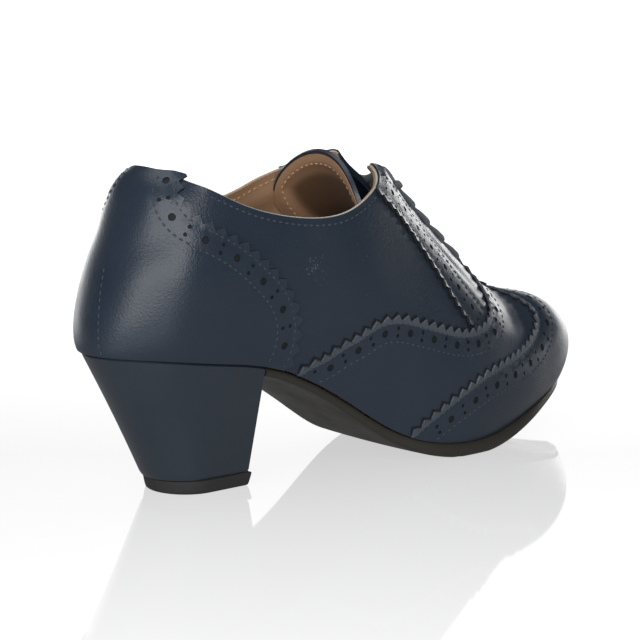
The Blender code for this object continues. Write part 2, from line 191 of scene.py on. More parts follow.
SOLE_EDGE = (
    EdgeLevel(-1.0, 0.0),
    EdgeLevel(-0.2, 0.07),
    EdgeLevel(0.1, 0.2),
    EdgeLevel(0.2, 0.5),
    EdgeLevel(0.1, 0.76),
    EdgeLevel(-0.5, 0.93),
    EdgeLevel(-1.4, 1.0),
)

TONGUE_ROWS = (
    TonguePoint(197.0, 56.0, 7.0, 2.5),
    TonguePoint(183.0, 63.0, 10.0, 4.0),
    TonguePoint(163.0, 77.0, 14.0, 6.5),
    TonguePoint(143.0, 91.0, 20.0, 9.5),
    TonguePoint(126.0, 99.5, 26.3, 12.0),
    TonguePoint(115.0, 111.0, 28.6, 12.0),
    TonguePoint(108.5, 124.6, 27.3, 9.5),
)

# First stitch row of each panel, from the sole upwards.
COUNTER_ROW = marks(
    (63.5, -0.02), (66.3, 0.04), (67.6, 0.10), (67.3, 0.18), (62.4, 0.28), (51.9, 0.377),
    (39.6, 0.472), (27.2, 0.54), (17.0, 0.59), (9.7, 0.64), (6.4, 0.685), (5.2, 0.73), (6.4, 0.78),
)
VAMP_ROW = marks(
    (72.0, -0.02), (78.5, 0.042), (84.5, 0.085), (91.0, 0.142), (99.0, 0.202), (107.0, 0.262),
    (117.0, 0.308), (129.0, 0.332), (145.0, 0.353), (158.0, 0.378), (168.0, 0.425), (176.5, 0.50),
    (181.5, 0.60), (183.0, 0.72), (182.5, 0.86), (182.0, 1.0),
)
WING_ROW = marks(
    (127.5, -0.02), (133.5, 0.038), (140.0, 0.088), (147.0, 0.135), (156.0, 0.19), (168.0, 0.255),
    (184.0, 0.313), (198.0, 0.373), (209.0, 0.45), (217.0, 0.55), (221.0, 0.66), (220.5, 0.78),
    (215.0, 0.90), (206.0, 1.0),
)
FACING_ROW = marks(
    (171.0, 0.385), (164.0, 0.45), (156.6, 0.53), (150.6, 0.60), (144.0, 0.648), (135.6, 0.688),
    (125.4, 0.706), (115.8, 0.728), (107.0, 0.752),
)
# Stitches of the back seam, from the top down.
BACK_SEAM = marks(
    (-7.0, 0.47), (-6.9, 0.38), (-6.6, 0.28), (-6.2, 0.18), (-5.8, 0.08), (-5.4, 0.01),
)

CREASES = (
    Crease(196.0, 0.60, -1, 9.0, 3.0, 62.0, 0.55),
    Crease(201.0, 0.68, -1, 8.0, 3.5, 50.0, -0.35),
    Crease(191.0, 0.50, -1, 12.0, 3.5, 40.0, 0.35),
    Crease(205.0, 0.58, -1, 7.0, 3.0, 75.0, 0.30),
    Crease(196.0, 0.60, 1, 9.0, 3.0, 62.0, 0.45),
    Crease(202.0, 0.70, 1, 10.0, 3.5, 50.0, 0.35),
    Crease(2.0, 0.56, -1, 9.0, 7.0, 20.0, 0.70),
    Crease(10.0, 0.42, -1, 16.0, 9.0, -15.0, -0.45),
    Crease(4.0, 0.55, 1, 9.0, 7.0, 15.0, 0.55),
    Crease(96.0, 0.50, -1, 22.0, 12.0, 30.0, 0.45),
    Crease(160.0, 0.735, -1, 15.0, 2.4, -28.0, 0.60),
    Crease(120.0, 0.50, 1, 24.0, 10.0, -40.0, 0.40),
    Crease(76.0, 0.36, 1, 20.0, 10.0, 10.0, 0.40),
)

THROAT_X = 187.0
FACING_TOP_X = 129.6
GAP_TOP = 9.0
GAP_THROAT = 2.2
NO_GAP = -34.0          # half gap where the quarters are whole
EYELET_FIRST_X = 137.0
EYELET_STEP_X = 8.8
EYELET_PAIRS = 5
EYELET_INSET = 4.5
EYELET_RADIUS = 1.7
BIG_HOLE_SIDES = 14
SMALL_HOLE_SIDES = 9
INSTEP_FALL = np.array([0.72, 0.0, -0.69])

ROUND_THE_SHOE = 560.0  # panels are laid out flat at about these lengths
UP_THE_SHOE = 95.0
BASE_LIFT = -0.35       # quarters lie this far inside the last, overlays stand over them
LEATHER = 1.1
LINING = 0.8
OVERLAY = 0.9


def linear(code: str) -> tuple[float, float, float, float]:
    """Turn an sRGB hex colour into linear RGBA.

    Args:
        code: six hex digits with a leading hash.

    Returns:
        Linear red, green, blue and an alpha of 1.
    """
    parts = [int(code[i:i + 2], 16) / 255.0 for i in (1, 3, 5)]
    red, green, blue = [c / 12.92 if c <= 0.04045 else ((c + 0.055) / 1.055) ** 2.4 for c in parts]
    return red, green, blue, 1.0


def cubic(knots: Array, values: Array, closed: bool = False) -> Callable[[Array], Array]:
    """Make a smooth curve through values.

    Args:
        knots: rising places of the values; a closed curve has one more knot than values.
        values: one row per knot.
        closed: whether the curve returns to its first value.

    Returns:
        A function from places to values.
    """
    knots = np.asarray(knots, float)
    values = np.asarray(values, float)
    count = len(values)
    step = np.diff(knots)
    matrix = np.zeros((count, count))
    right = np.zeros_like(values)
    for i in range(count):
        if not closed and i in (0, count - 1):
            matrix[i, i] = 1.0
            continue
        before, after = step[i - 1], step[i]
        ahead = (i + 1) % count
        matrix[i, i - 1] += before
        matrix[i, i] += 2.0 * (before + after)
        matrix[i, ahead] += after
        right[i] = 6.0 * ((values[ahead] - values[i]) / after - (values[i] - values[i - 1]) / before)
    bend = np.linalg.solve(matrix, right)

    def curve(at: Array) -> Array:
        """Read the curve.

        Args:
            at: places along it.

        Returns:
            The values there.
        """
        at = np.asarray(at, float)
        at = np.mod(at, knots[-1]) if closed else np.clip(at, knots[0], knots[-1])
        i = np.clip(np.searchsorted(knots, at, side="right") - 1, 0, len(step) - 1)
        j = (i + 1) % count
        near = (knots[i + 1] - at) / step[i]
        far = (at - knots[i]) / step[i]
        weights = (near, far, (near**3 - near) * step[i] ** 2 / 6.0, (far**3 - far) * step[i] ** 2 / 6.0)
        spread = [w.reshape(w.shape + (1,) * (values.ndim - 1)) for w in weights]
        return spread[0] * values[i] + spread[1] * values[j] + spread[2] * bend[i] + spread[3] * bend[j]

    return curve


def steady(knots: Array, values: Array) -> Callable[[Array], Array]:
    """Make a closed curve through values that never swings past them.

    Args:
        knots: rising places, one more than there are values.
        values: one number per place.

    Returns:
        A function from places to values.
    """
    knots = np.asarray(knots, float)
    values = np.asarray(values, float)
    count = len(values)
    step = np.diff(knots)
    rate = (np.roll(values, -1) - values) / step
    before = np.roll(rate, 1)
    same = before * rate > 0.0
    slope = np.where(same, 2.0 * before * rate / np.where(same, before + rate, 1.0), 0.0)

    def curve(at: Array) -> Array:
        """Read the curve.

        Args:
            at: places along it.

        Returns:
            The values there.
        """
        at = np.mod(np.asarray(at, float), knots[-1])
        i = np.clip(np.searchsorted(knots, at, side="right") - 1, 0, count - 1)
        j = (i + 1) % count
        t = (at - knots[i]) / step[i]
        ease = t * t * (3.0 - 2.0 * t)
        tilt = slope[i] * t * (1.0 - t) ** 2 - slope[j] * t * t * (1.0 - t)
        return values[i] * (1.0 - ease) + values[j] * ease + tilt * step[i]

    return curve


def column(rows: Sequence[Any], name: str) -> Array:
    """Return one named column of a table."""
    return np.array([getattr(row, name) for row in rows], float)


def unit(vectors: Array) -> Array:
    """Return vectors at length 1."""
    return vectors / np.maximum(np.linalg.norm(vectors, axis=-1, keepdims=True), 1e-12)


def smooth_step(values: Array, low: float, high: float) -> Array:
    """Ease from 0 at low to 1 at high."""
    t = np.clip((np.asarray(values, float) - low) / (high - low), 0.0, 1.0)
    return t * t * (3.0 - 2.0 * t)


def running_length(points: Array) -> Array:
    """Return the distance along a path at each of its points."""
    return np.concatenate([[0.0], np.cumsum(np.linalg.norm(np.diff(points, axis=0), axis=1))])


def read_off(at: Array, known: Array, rows: Array) -> Array:
    """Read each column of a table at places between its rows."""
    if rows.ndim == 1:
        return np.interp(at, known, rows)
    return np.stack([np.interp(at, known, rows[:, k]) for k in range(rows.shape[1])], -1)


def nearest(share: Array, count: int) -> Array:
    """Return the number of the row that lies at each share of a list."""
    return np.clip(np.rint(share * (count - 1)).astype(int), 0, count - 1)


def half_gap(x: Array) -> Array:
    """Return half the lace gap.

    Args:
        x: places along the foot.

    Returns:
        Half widths in millimetres; below 0 where there is no gap.
    """
    corner = COLLAR[-1].x
    places = [corner - 22.0, corner - 7.0, corner, THROAT_X]
    halves = [NO_GAP, GAP_TOP - 4.0, GAP_TOP, GAP_THROAT]
    return np.where(x < THROAT_X, np.interp(x, places, halves), -1.0)


class Last:
    """The form of the shoe: u runs round it from the back, v from the sole line to the top."""

    SAMPLES = 1600
    CORNER = 4.5        # rounding where collar and lace gap meet
    INNER_RISE = 4.0    # how much higher the collar's front stands on the inner side
    BACK_RISE = 2.6     # leather taken up by the roll at the back
    FRONT_RISE = 4.2    # and by the curl at the facing's corner
    CURL = 3.0          # how far that corner curls in
    ROLL = 4.2          # how far the padded back of the collar turns in
    ROLL_DEPTH = 9.0    # how far below the edge that starts
    GIRTH = 92.0        # length of a section from sole to top, about

    def __init__(self, rows: Sequence[Section], creases: Sequence[Crease]) -> None:
        """Fit the form through its sections.

        Args:
            rows: sections from the back to the toe tip.
            creases: soft troughs and ridges of the worn leather.
        """
        count = len(rows)
        order = list(range(count)) + list(range(count - 2, 0, -1))
        side = np.array([0] + [-1] * (count - 2) + [0] + [1] * (count - 2))
        loop = {name: column(rows, name)[order] for name in Section._fields}
        across = np.where(side < 0, -loop["lateral"], loop["medial"])
        sole = np.stack([loop["x"], across, loop["z"]], 1)
        top = np.stack([loop["top_x"], side * loop["top_half"], loop["top_z"]], 1)
        lean = np.stack([loop[name] for name in ("low", "high", "full_low", "full_high")], 1)
        ring = np.vstack([sole, sole[:1]])[:, :2]
        steps = np.linalg.norm(np.diff(ring, axis=0), axis=1) ** 0.75
        knots = np.concatenate([[0.0], np.cumsum(steps)]) / steps.sum()
        self.tip = float(knots[count - 1])
        self.smooth = cubic(knots, np.hstack([sole, top, lean]), closed=True)
        self.top_across = steady(knots, top[:, 1])
        self.ridge = cubic(column(rows, "top_x"), column(rows, "top_z"))
        self.collar = cubic(column(COLLAR, "x"), column(COLLAR, "z"))
        self.creases = creases
        self.places = np.linspace(0.0, 1.0, self.SAMPLES + 1)
        table = self.values(self.places)
        self.station_table = table[:, 0]
        self.top_table = table[:, 3]
        self.edge_table = np.array([self.cut(u) for u in self.places])

    def values(self, u: Array) -> Array:
        """Return sole line, top, lean and fullness at u."""
        row = self.smooth(u)
        row[..., 4] = self.top_across(u)
        return row

    def outward(self, u: Array) -> Array:
        """Look away from the shoe, square to its sole line.

        Args:
            u: places round the shoe.

        Returns:
            Level directions of length 1.
        """
        u = np.asarray(u, float)
        along = self.values(u + 1e-4)[..., :2] - self.values(u - 1e-4)[..., :2]
        along = unit(along)
        return np.stack([along[..., 1], -along[..., 0]], -1)

    def controls(self, u: Array) -> list[Array]:
        """Work out what steers each section's curve.

        Args:
            u: places round the shoe.

        Returns:
            Four points per place, from the sole to the top.
        """
        row = self.values(u)
        sole, top = row[..., 0:3], row[..., 3:6]
        low, high = np.radians(row[..., 6]), np.radians(row[..., 7])
        reach = np.linalg.norm(top - sole, axis=-1)
        out = self.outward(u)
        slope = self.ridge(row[..., 3] + 0.5) - self.ridge(row[..., 3] - 0.5)
        rise = np.stack([out[..., 0] * np.sin(low), out[..., 1] * np.sin(low), np.cos(low)], -1)
        ending = np.cos(high) - out[..., 0] * np.sin(high) * slope
        arrive = np.stack([-out[..., 0] * np.sin(high), -out[..., 1] * np.sin(high), ending], -1)
        first = sole + rise * (row[..., 8] * reach)[..., None]
        second = top - arrive * (row[..., 9] * reach)[..., None]
        return [sole, first, second, top]

    def point(self, u: Array, v: Array) -> Array:
        """Return points of the bare form."""
        a, b, c, d = self.controls(np.asarray(u, float))
        w = np.asarray(v, float)[..., None]
        return (1 - w) ** 3 * a + 3 * (1 - w) ** 2 * w * b + 3 * (1 - w) * w**2 * c + w**3 * d

    def tangents(self, u: Array, v: Array) -> tuple[Array, Array, Array]:
        """Measure how the bare form slopes.

        Args:
            u: places round the shoe.
            v: places up the section.

        Returns:
            The change of the point with u and with v, and the outward normal.
        """
        h = 2e-4
        v = np.minimum(v, 1.0 - 1e-4)
        along = (self.point(u + h, v) - self.point(u - h, v)) / (2.0 * h)
        up = (self.point(u, v + h) - self.point(u, v - h)) / (2.0 * h)
        normal = unit(np.cross(along, up))
        return along, up, normal

    def normal(self, u: Array, v: Array) -> Array:
        """Return the outward normal."""
        return self.tangents(u, v)[2]

    def relief(self, u: Array, v: Array) -> Array:
        """Measure the creases, the rolled collar and the curled corners of the facings.

        Args:
            u: places round the shoe.
            v: places up the section.

        Returns:
            How far they raise the leather; below 0 where they sink it.
        """
        u = np.mod(u, 1.0)
        station = self.values(u)[..., 0]
        side = np.where(u < self.tip, -1, 1)
        total = np.zeros(np.broadcast(station, v).shape)
        for crease in self.creases:
            turn = math.radians(crease.turn)
            level = station - crease.station
            upright = (v - crease.share) * self.GIRTH
            a = (level * math.cos(turn) + upright * math.sin(turn)) / crease.length
            b = (upright * math.cos(turn) - level * math.sin(turn)) / crease.width
            total -= np.where(side == crease.side, crease.depth, 0.0) * np.exp(-a * a - b * b)
        below = (self.edge(u) - v) * self.GIRTH
        turned = np.clip(1.0 - below / self.ROLL_DEPTH, 0.0, 1.1) ** 2
        total = total - self.ROLL * turned * smooth_step(0.085 - np.minimum(u, 1.0 - u), 0.0, 0.05)
        top_x = np.interp(u, self.places, self.top_table)
        corner = np.exp(-(((top_x - FACING_TOP_X) / 7.0) ** 2))
        return total - self.CURL * corner * np.clip(1.0 - below / 7.0, 0.0, 1.1) ** 2

    def surface(self, u: Array, v: Array, lift: Array) -> Array:
        """Return points that stand off the creased form by lift."""
        normal = self.normal(u, v)
        raised = np.broadcast_to(lift, normal.shape[:-1]) + self.relief(u, v)
        return self.point(u, v) + normal * raised[..., None]

    def cut(self, u: float) -> float:
        """Find where the leather ends: at the collar, the lace gap or the ridge.

        Args:
            u: place round the shoe.

        Returns:
            The v of that end.
        """
        v = np.linspace(0.3, 1.0, 300)
        p = self.point(np.full(300, u), v)
        beyond = np.maximum(p[:, 0] - COLLAR[-1].x, 0.0) * 4.0
        inner = np.where(p[:, 1] > 0.0, self.INNER_RISE * smooth_step(p[:, 0], 72.0, 102.0), 0.0)
        raised = self.BACK_RISE * smooth_step(-p[:, 0], -30.0, -10.0)
        raised = raised + self.FRONT_RISE * smooth_step(p[:, 0], 114.0, 128.0)
        high = p[:, 2] - self.collar(p[:, 0]) - beyond - inner - raised
        wide = half_gap(p[:, 0]) - np.abs(p[:, 1])
        share = np.clip(0.5 + 0.5 * (high - wide) / self.CORNER, 0.0, 1.0)
        over = wide + (high - wide) * share + self.CORNER * share * (1.0 - share)
        past = np.nonzero(over > 0.0)[0]
        if len(past) == 0:
            return 1.0
        k = past[0]
        return float(v[k - 1] + (v[k] - v[k - 1]) * over[k - 1] / (over[k - 1] - over[k]))

    def edge(self, u: Array) -> Array:
        """Return v of the leather's top edge at u."""
        return np.interp(np.mod(u, 1.0), self.places, self.edge_table)

    def at_station(self, x: Array) -> Array:
        """Return u on the outer side where the sole line has this x."""
        outer = self.places <= self.tip
        return np.interp(x, self.station_table[outer], self.places[outer])

    def at_top(self, x: Array, side: Side) -> Array:
        """Find the sections whose tops lie at x.

        Args:
            x: places along the foot.
            side: side of the foot.

        Returns:
            Their u.
        """
        if side is Side.OUTER:
            chosen = self.places <= self.tip
            return np.interp(x, self.top_table[chosen], self.places[chosen])
        chosen = self.places >= self.tip
        return np.interp(x, self.top_table[chosen][::-1], self.places[chosen][::-1])

    def mirrored(self, u: Array) -> Array:
        """Return the inner-side u that faces an outer-side u."""
        return self.at_top(np.interp(u, self.places, self.top_table), Side.INNER)

    def across(self, top_x: float, y: float) -> tuple[float, float]:
        """Find the place near the ridge that lies y across the shoe.

        Args:
            top_x: where the section's top lies along the foot.
            y: distance across, below 0 on the outer side.

        Returns:
            Its u and v.
        """
        u = float(self.at_top(top_x, Side.OUTER if y < 0 else Side.INNER))
        v = np.linspace(0.4, 1.0, 400)
        reach = np.abs(self.point(np.full(400, u), v)[:, 1])
        return u, float(np.interp(-abs(y), -reach, v))

    def walk(self, u: Array, v: Array, direction: Array, distance: Array) -> tuple[Array, Array]:
        """Move places along the surface.

        Args:
            u: start of each walk round the shoe.
            v: start of each walk up the section.
            direction: heading of each walk in space; it is laid into the surface.
            distance: length of each walk.

        Returns:
            The end of each walk as u and v.
        """
        steps = max(1, int(math.ceil(float(np.max(np.abs(distance))))))
        u, v = np.array(u, float), np.array(v, float)
        for _ in range(steps):
            along, up, normal = self.tangents(u, v)
            heading = unit(direction - np.sum(direction * normal, -1, keepdims=True) * normal)
            heading = heading * (np.asarray(distance, float) / steps)[..., None]
            aa, ab, bb = (np.sum(p * q, -1) for p, q in ((along, along), (along, up), (up, up)))
            ca, cb = np.sum(heading * along, -1), np.sum(heading * up, -1)
            det = aa * bb - ab * ab
            u = u + (ca * bb - cb * ab) / det
            v = np.minimum(v + (cb * aa - ca * ab) / det, 1.0)
        return u, v

    def ring(self, place: tuple[float, float], axes: tuple[Array, Array], radius: float,
             sides: int) -> Array:
        """Draw a round loop on the surface.

        Args:
            place: its middle.
            axes: directions of its first point and of the one a quarter turn on.
            radius: radius in millimetres.
            sides: number of points.

        Returns:
            Rows of u and v.
        """
        turn = np.linspace(0.0, 2.0 * math.pi, sides, endpoint=False)
        heading = np.cos(turn)[:, None] * axes[0] + np.sin(turn)[:, None] * axes[1]
        u, v = (np.full(sides, middle) for middle in place)
        return np.stack(self.walk(u, v, heading, np.full(sides, radius)), 1)


class Line:
    """A line on the last, read by the distance along it."""

    STEP = 0.5

    def __init__(self, last: Last, u: Array, v: Array, side: Side) -> None:
        """Measure the line.

        Args:
            last: the form it is drawn on.
            u: places round the shoe.
            v: places up the section.
            side: side of the foot it is on.
        """
        self.last = last
        self.side = side
        points = last.point(u, v)
        length = running_length(points)
        self.length = float(length[-1])
        self.at = np.linspace(0.0, self.length, max(8, int(self.length / self.STEP)))
        self.u = np.interp(self.at, length, u)
        self.v = np.interp(self.at, length, v)
        self.points = last.point(self.u, self.v)
        self.along = unit(np.gradient(self.points, axis=0))
        self.normal = last.normal(self.u, self.v)
        self.rear = unit(np.cross(self.normal, self.along)) * -side.value

    @classmethod
    def through(cls, last: Last, marks: Sequence[Mark], side: Side) -> "Line":
        """Draw a smooth line through marks, mirrored for the inner side.

        Args:
            last: the form it is drawn on.
            marks: what it passes through.
            side: side of the foot.

        Returns:
            The measured line.
        """
        station, share = column(marks, "station"), column(marks, "share")
        chord = np.hypot(np.diff(station), np.diff(share) * 90.0)
        knots = np.concatenate([[0.0], np.cumsum(chord)])
        dense = np.linspace(0.0, knots[-1], 400)
        places = cubic(knots, np.stack([station, share], 1))(dense)
        u = last.at_station(places[:, 0])
        if side is Side.INNER:
            u = last.mirrored(u)
        return cls(last, u, np.minimum(places[:, 1], 1.0), side)

    def read(self, at: Array, values: Array) -> Array:
        """Read a column of the line at distances along it."""
        return read_off(at, self.at, values)

    def place(self, at: Array, back: Array) -> tuple[Array, Array]:
        """Return places at distances along the line and back from it, towards the heel."""
        at = np.asarray(at, float)
        back = np.broadcast_to(np.asarray(back, float), at.shape)
        return self.last.walk(self.read(at, self.u), self.read(at, self.v), self.read(at, self.rear), back)


@dataclass(frozen=True)
class Band:
    """A pinked and punched edge; distances are from its first stitch row, in mm."""

    outside: int            # 1 where the teeth point to the heel, -1 to the toe
    pitch: float = 5.0
    tooth: float = 2.5
    root: float = 0.9
    second_row: float = 8.2
    hole_inset: float = 4.1
    hole_pitch: float = 13.4
    big_hole: float = 1.5
    small_hole: float = 0.8
    pair: float = 3.4
    flare: float = 0.8
    near: float = 0.6
    far: float = 0.3
    under: float = -0.2     # lift of the painted-shadow strip under the teeth
    pale: bool = False      # whether the flared strip gets the paler colour, a painted highlight


def add_node(tree: bpy.types.NodeTree, kind: str, settings: Optional[dict] = None,
             links: Optional[dict] = None) -> bpy.types.Node:
    """Add a shader node.

    Args:
        tree: node tree to add to.
        kind: Blender's name for the node type, without ShaderNode before it.
        settings: properties by name, and input values by (input,) key.
        links: output sockets by the input they feed.

    Returns:
        The new node.
    """
    made = tree.nodes.new("ShaderNode" + kind)
    for key, value in (settings or {}).items():
        if isinstance(key, tuple):
            made.inputs[key[0]].default_value = value
        else:
            setattr(made, key, value)
    for key, source in (links or {}).items():
        tree.links.new(source, made.inputs[key])
    return made


def new_material(name: str, inputs: dict) -> tuple[Material, bpy.types.NodeTree, bpy.types.Node]:
    """Start a node material.

    Args:
        name: its name.
        inputs: values of its surface shader's inputs.

    Returns:
        The material, its node tree and its surface shader.
    """
    material = bpy.data.materials.new(name)
    material.use_nodes = True
    shader = material.node_tree.nodes["Principled BSDF"]
    for key, value in inputs.items():
        shader.inputs[key].default_value = value
    return material, material.node_tree, shader


@dataclass(frozen=True)
class Scuff:
    """A rubbed spot: pale specks thinning out from its middle."""

    spot: tuple[float, float, float]
    radius_mm: float
    colour: str
    speck_mm: float = 1.0

    def tint(self, tree: bpy.types.NodeTree, place: bpy.types.NodeSocket,
             under: bpy.types.NodeSocket) -> bpy.types.NodeSocket:
        """Lay the specks over a colour.

        Args:
            tree: node tree of the material.
            place: Object coordinates.
            under: colour below.

        Returns:
            The colour with its specks.
        """
        gap = add_node(tree, "VectorMath", {"operation": "DISTANCE", (1,): self.spot}, {0: place})
        fade = {("From Min",): 0.0, ("From Max",): self.radius_mm * MM, ("To Min",): 0.54, ("To Max",): 0.74}
        near = add_node(tree, "MapRange", fade, {"Value": gap.outputs["Value"]})
        grit = {("Scale",): 1000.0 / self.speck_mm, ("Detail",): 2.0}
        speck = add_node(tree, "TexNoise", grit, {"Vector": place})
        over = add_node(tree, "Math", {"operation": "GREATER_THAN"},
                        {0: speck.outputs["Fac"], 1: near.outputs["Result"]})
        laid = add_node(tree, "Mix", {"data_type": "RGBA", (7,): linear(self.colour)},
                        {0: over.outputs[0], 6: under})
        return laid.outputs[2]


@dataclass(frozen=True)
class Grained:
    """A grained or moulded surface: two tones, a grain bump and a rub of roughness."""

    name: str
    colour: str
    second: str
    roughness: float
    grain_mm: float
    grain_depth: float
    rub: float = 0.06
    blotch_mm: float = 26.0
    coat: float = 0.0
    coat_roughness: float = 0.3
    specular: float = 0.5
    sheen: float = 0.0
    scuff: Optional[Scuff] = None
    deep: str = ""          # colour of the painted shade, mixed in where the piece's shade attribute is 1

    def build(self) -> Material:
        """Make the material.

        Returns:
            A node material on Object coordinates.
        """
        material, tree, shader = new_material(self.name, {
            "Specular IOR Level": self.specular, "Coat Weight": self.coat,
            "Coat Roughness": self.coat_roughness, "Sheen Weight": self.sheen})
        place = add_node(tree, "TexCoord").outputs["Object"]
        patches = {("Scale",): 1000.0 / self.blotch_mm, ("Detail",): 4.0, ("Roughness",): 0.6}
        blotch = add_node(tree, "TexNoise", patches, {"Vector": place}).outputs["Fac"]
        tones = {"data_type": "RGBA", (6,): linear(self.colour), (7,): linear(self.second)}
        colour = add_node(tree, "Mix", tones, {0: blotch}).outputs[2]
        if self.scuff is not None:
            colour = self.scuff.tint(tree, place, colour)
        # Painted shade: towards the deep colour by the piece's own shade attribute.
        if self.deep:
            worn = add_node(tree, "Attribute", {"attribute_name": PAINTED_SHADE}).outputs["Fac"]
            deep = {"data_type": "RGBA", (7,): linear(self.deep)}
            colour = add_node(tree, "Mix", deep, {0: worn, 6: colour}).outputs[2]
        tree.links.new(colour, shader.inputs["Base Color"])
        rubbed = {("From Min",): 0.3, ("From Max",): 0.7, ("To Min",): self.roughness - self.rub,
                  ("To Max",): self.roughness + self.rub}
        gloss = add_node(tree, "MapRange", rubbed, {"Value": blotch})
        tree.links.new(gloss.outputs["Result"], shader.inputs["Roughness"])
        pebbles = {"feature": "SMOOTH_F1", ("Scale",): 1000.0 / self.grain_mm, ("Smoothness",): 0.7,
                   ("Randomness",): 1.0}
        pebble = add_node(tree, "TexVoronoi", pebbles, {"Vector": place})
        folds = {("Scale",): 1000.0 / (2.2 * self.grain_mm), ("Detail",): 6.0, ("Roughness",): 0.65}
        wrinkle = add_node(tree, "TexNoise", folds, {"Vector": place})
        height = add_node(tree, "Math", {"operation": "MULTIPLY_ADD", (1,): 0.6},
                          {0: wrinkle.outputs["Fac"], 2: pebble.outputs["Distance"]})
        bump = add_node(tree, "Bump", {("Strength",): 1.0, ("Distance",): self.grain_depth * MM},
                        {"Height": height.outputs[0]})
        tree.links.new(bump.outputs["Normal"], shader.inputs["Normal"])
        return material


@dataclass(frozen=True)
class Braided:
    """A flat woven lace: threads cross in a fine chevron along it."""

    name: str
    colour: str
    second: str
    length_mm: float
    thread_mm: float = 0.4917

    def build(self) -> Material:
        """Make the material.

        Returns:
            A node material on the lace's own UV map.
        """
        material, tree, shader = new_material(
            self.name, {"Roughness": 0.72, "Specular IOR Level": 0.35, "Sheen Weight": 0.25})
        place = add_node(tree, "TexCoord").outputs["UV"]
        heights = []
        for turn in (0.6, -0.6):
            threads = {("Scale",): (7.0, self.length_mm / self.thread_mm / 3.0, 1.0),
                       ("Rotation",): (0.0, 0.0, turn)}
            laid = add_node(tree, "Mapping", threads, {"Vector": place})
            waves = {"bands_direction": "Y", ("Scale",): 1.0, ("Distortion",): 0.4}
            heights.append(add_node(tree, "TexWave", waves, {"Vector": laid.outputs[0]}).outputs["Fac"])
        weave = add_node(tree, "Math", {"operation": "MAXIMUM"}, {0: heights[0], 1: heights[1]}).outputs[0]
        tones = {"data_type": "RGBA", (6,): linear(self.colour), (7,): linear(self.second)}
        tone = add_node(tree, "Mix", tones, {0: weave})
        tree.links.new(tone.outputs[2], shader.inputs["Base Color"])
        bump = add_node(tree, "Bump", {("Strength",): 0.8, ("Distance",): 0.25 * MM}, {"Height": weave})
        tree.links.new(bump.outputs["Normal"], shader.inputs["Normal"])
        return material


# Coated split leather, embossed with a fine pebble: satin, with a wide soft highlight.
NAVY = Grained("coated_leather_navy", "#222d3b", "#283341", 0.35, 0.8, 0.075, coat=0.08,
               scuff=Scuff((-0.0420, -0.0348, 0.0857), 7.0, "#535e6a"))
# The same hide on the overlays, a touch paler.
NAVY_OVERLAY = Grained("coated_leather_navy_overlay", "#232e3c", "#293442", 0.35, 0.8, 0.075, coat=0.08)
# Pinked strip beyond the first stitches, bent outwards and paler: painted highlight, the light that the bent
# teeth catch.
FLARED_PAINTED_HIGHLIGHT = Grained("coated_leather_flared_edge_painted_highlight", "#454d56", "#525a62", 0.50, 1.0, 0.10)
# Near-black strip under the pinked teeth, reaching a little beyond them: painted shadow that the teeth cast
# on the leather behind.
TEETH_PAINTED_SHADOW = Grained("pinked_teeth_painted_shadow", "#0d1014", "#14181d", 0.8, 0.8, 0.02)
# Raw cut through the coated hide: dull fibre, dyed dark, with no grain.
CUT_EDGE = Grained("cut_leather_edge", "#1b2026", "#262b31", 0.8, 0.6, 0.03, specular=0.3)
# Cut edge at the collar, where the cream backing shows.
COLLAR_EDGE = Grained("cream_cut_edge", "#c2bbae", "#a09888", 0.75, 0.6, 0.03)
# Pigskin lining: matt tan with open pores; its deep colour is painted shade in the tongue's pressed middle.
TAN = Grained("pigskin_lining_tan", "#8d6c50", "#9c7a5c", 0.62, 1.6, 0.06, sheen=0.05, deep="#553d29")
# Heel cover: thin coated leather drawn tight over the block, almost smooth.
HEEL_COVER = Grained("coated_leather_heel_cover", "#27303b", "#2e3742", 0.38, 0.8, 0.03, coat=0.10)
# Moulded heel rubber: matt black with a fine tooth.
HEEL_RUBBER = Grained("moulded_heel_rubber", "#262627", "#303030", 0.66, 0.7, 0.03)
# Moulded outsole: dark brown-grey with a dull rubbed sheen.
SOLE = Grained("moulded_sole_resin", "#292721", "#34312a", 0.50, 2.4, 0.03, rub=0.10)
# Twisted polyester thread: a matt grey navy, paler than the leather.
THREAD = Grained("polyester_thread_navy", "#3f464e", "#4b5259", 0.95, 0.5, 0.05, rub=0.0, specular=0.05)
# The same thread in tan, on the lining.
TAN_THREAD = Grained("polyester_thread_tan", "#b08a68", "#c29b78", 0.55, 0.5, 0.05)
# Near-black floor under each punched hole: painted shade, standing in for the shadow down in the holes.
HOLE_PAINTED_SHADE = Grained("punched_hole_painted_shade", "#0c0f13", "#14181d", 0.8, 0.8, 0.02)
# Woven flat cotton lace, waxed, grey navy where the light catches it.
LACE = Braided("waxed_cotton_lace_navy", "#454b52", "#666c72", 295.0)


def deselect() -> None:
    """Clear the selection, in object mode."""
    bpy.ops.object.select_all(action="DESELECT")


def choose(thing: Thing) -> None:
    """Make one object the selected and active one."""
    deselect()
    thing.select_set(True)
    bpy.context.view_layer.objects.active = thing


@contextmanager
def editing(thing: Thing) -> Iterator[None]:
    """Hold one object in edit mode, all of it selected.

    Args:
        thing: object to edit.

    Yields:
        Nothing; edit mode ends afterwards.
    """
    choose(thing)
    bpy.ops.object.mode_set(mode="EDIT")
    bpy.ops.mesh.select_all(action="SELECT")
    yield
    bpy.ops.object.mode_set(mode="OBJECT")


def to_frame(points: Array) -> Array:
    """Turn the last's millimetres into the frame's metres."""
    return (np.asarray(points, float) - MIDDLE) * MM


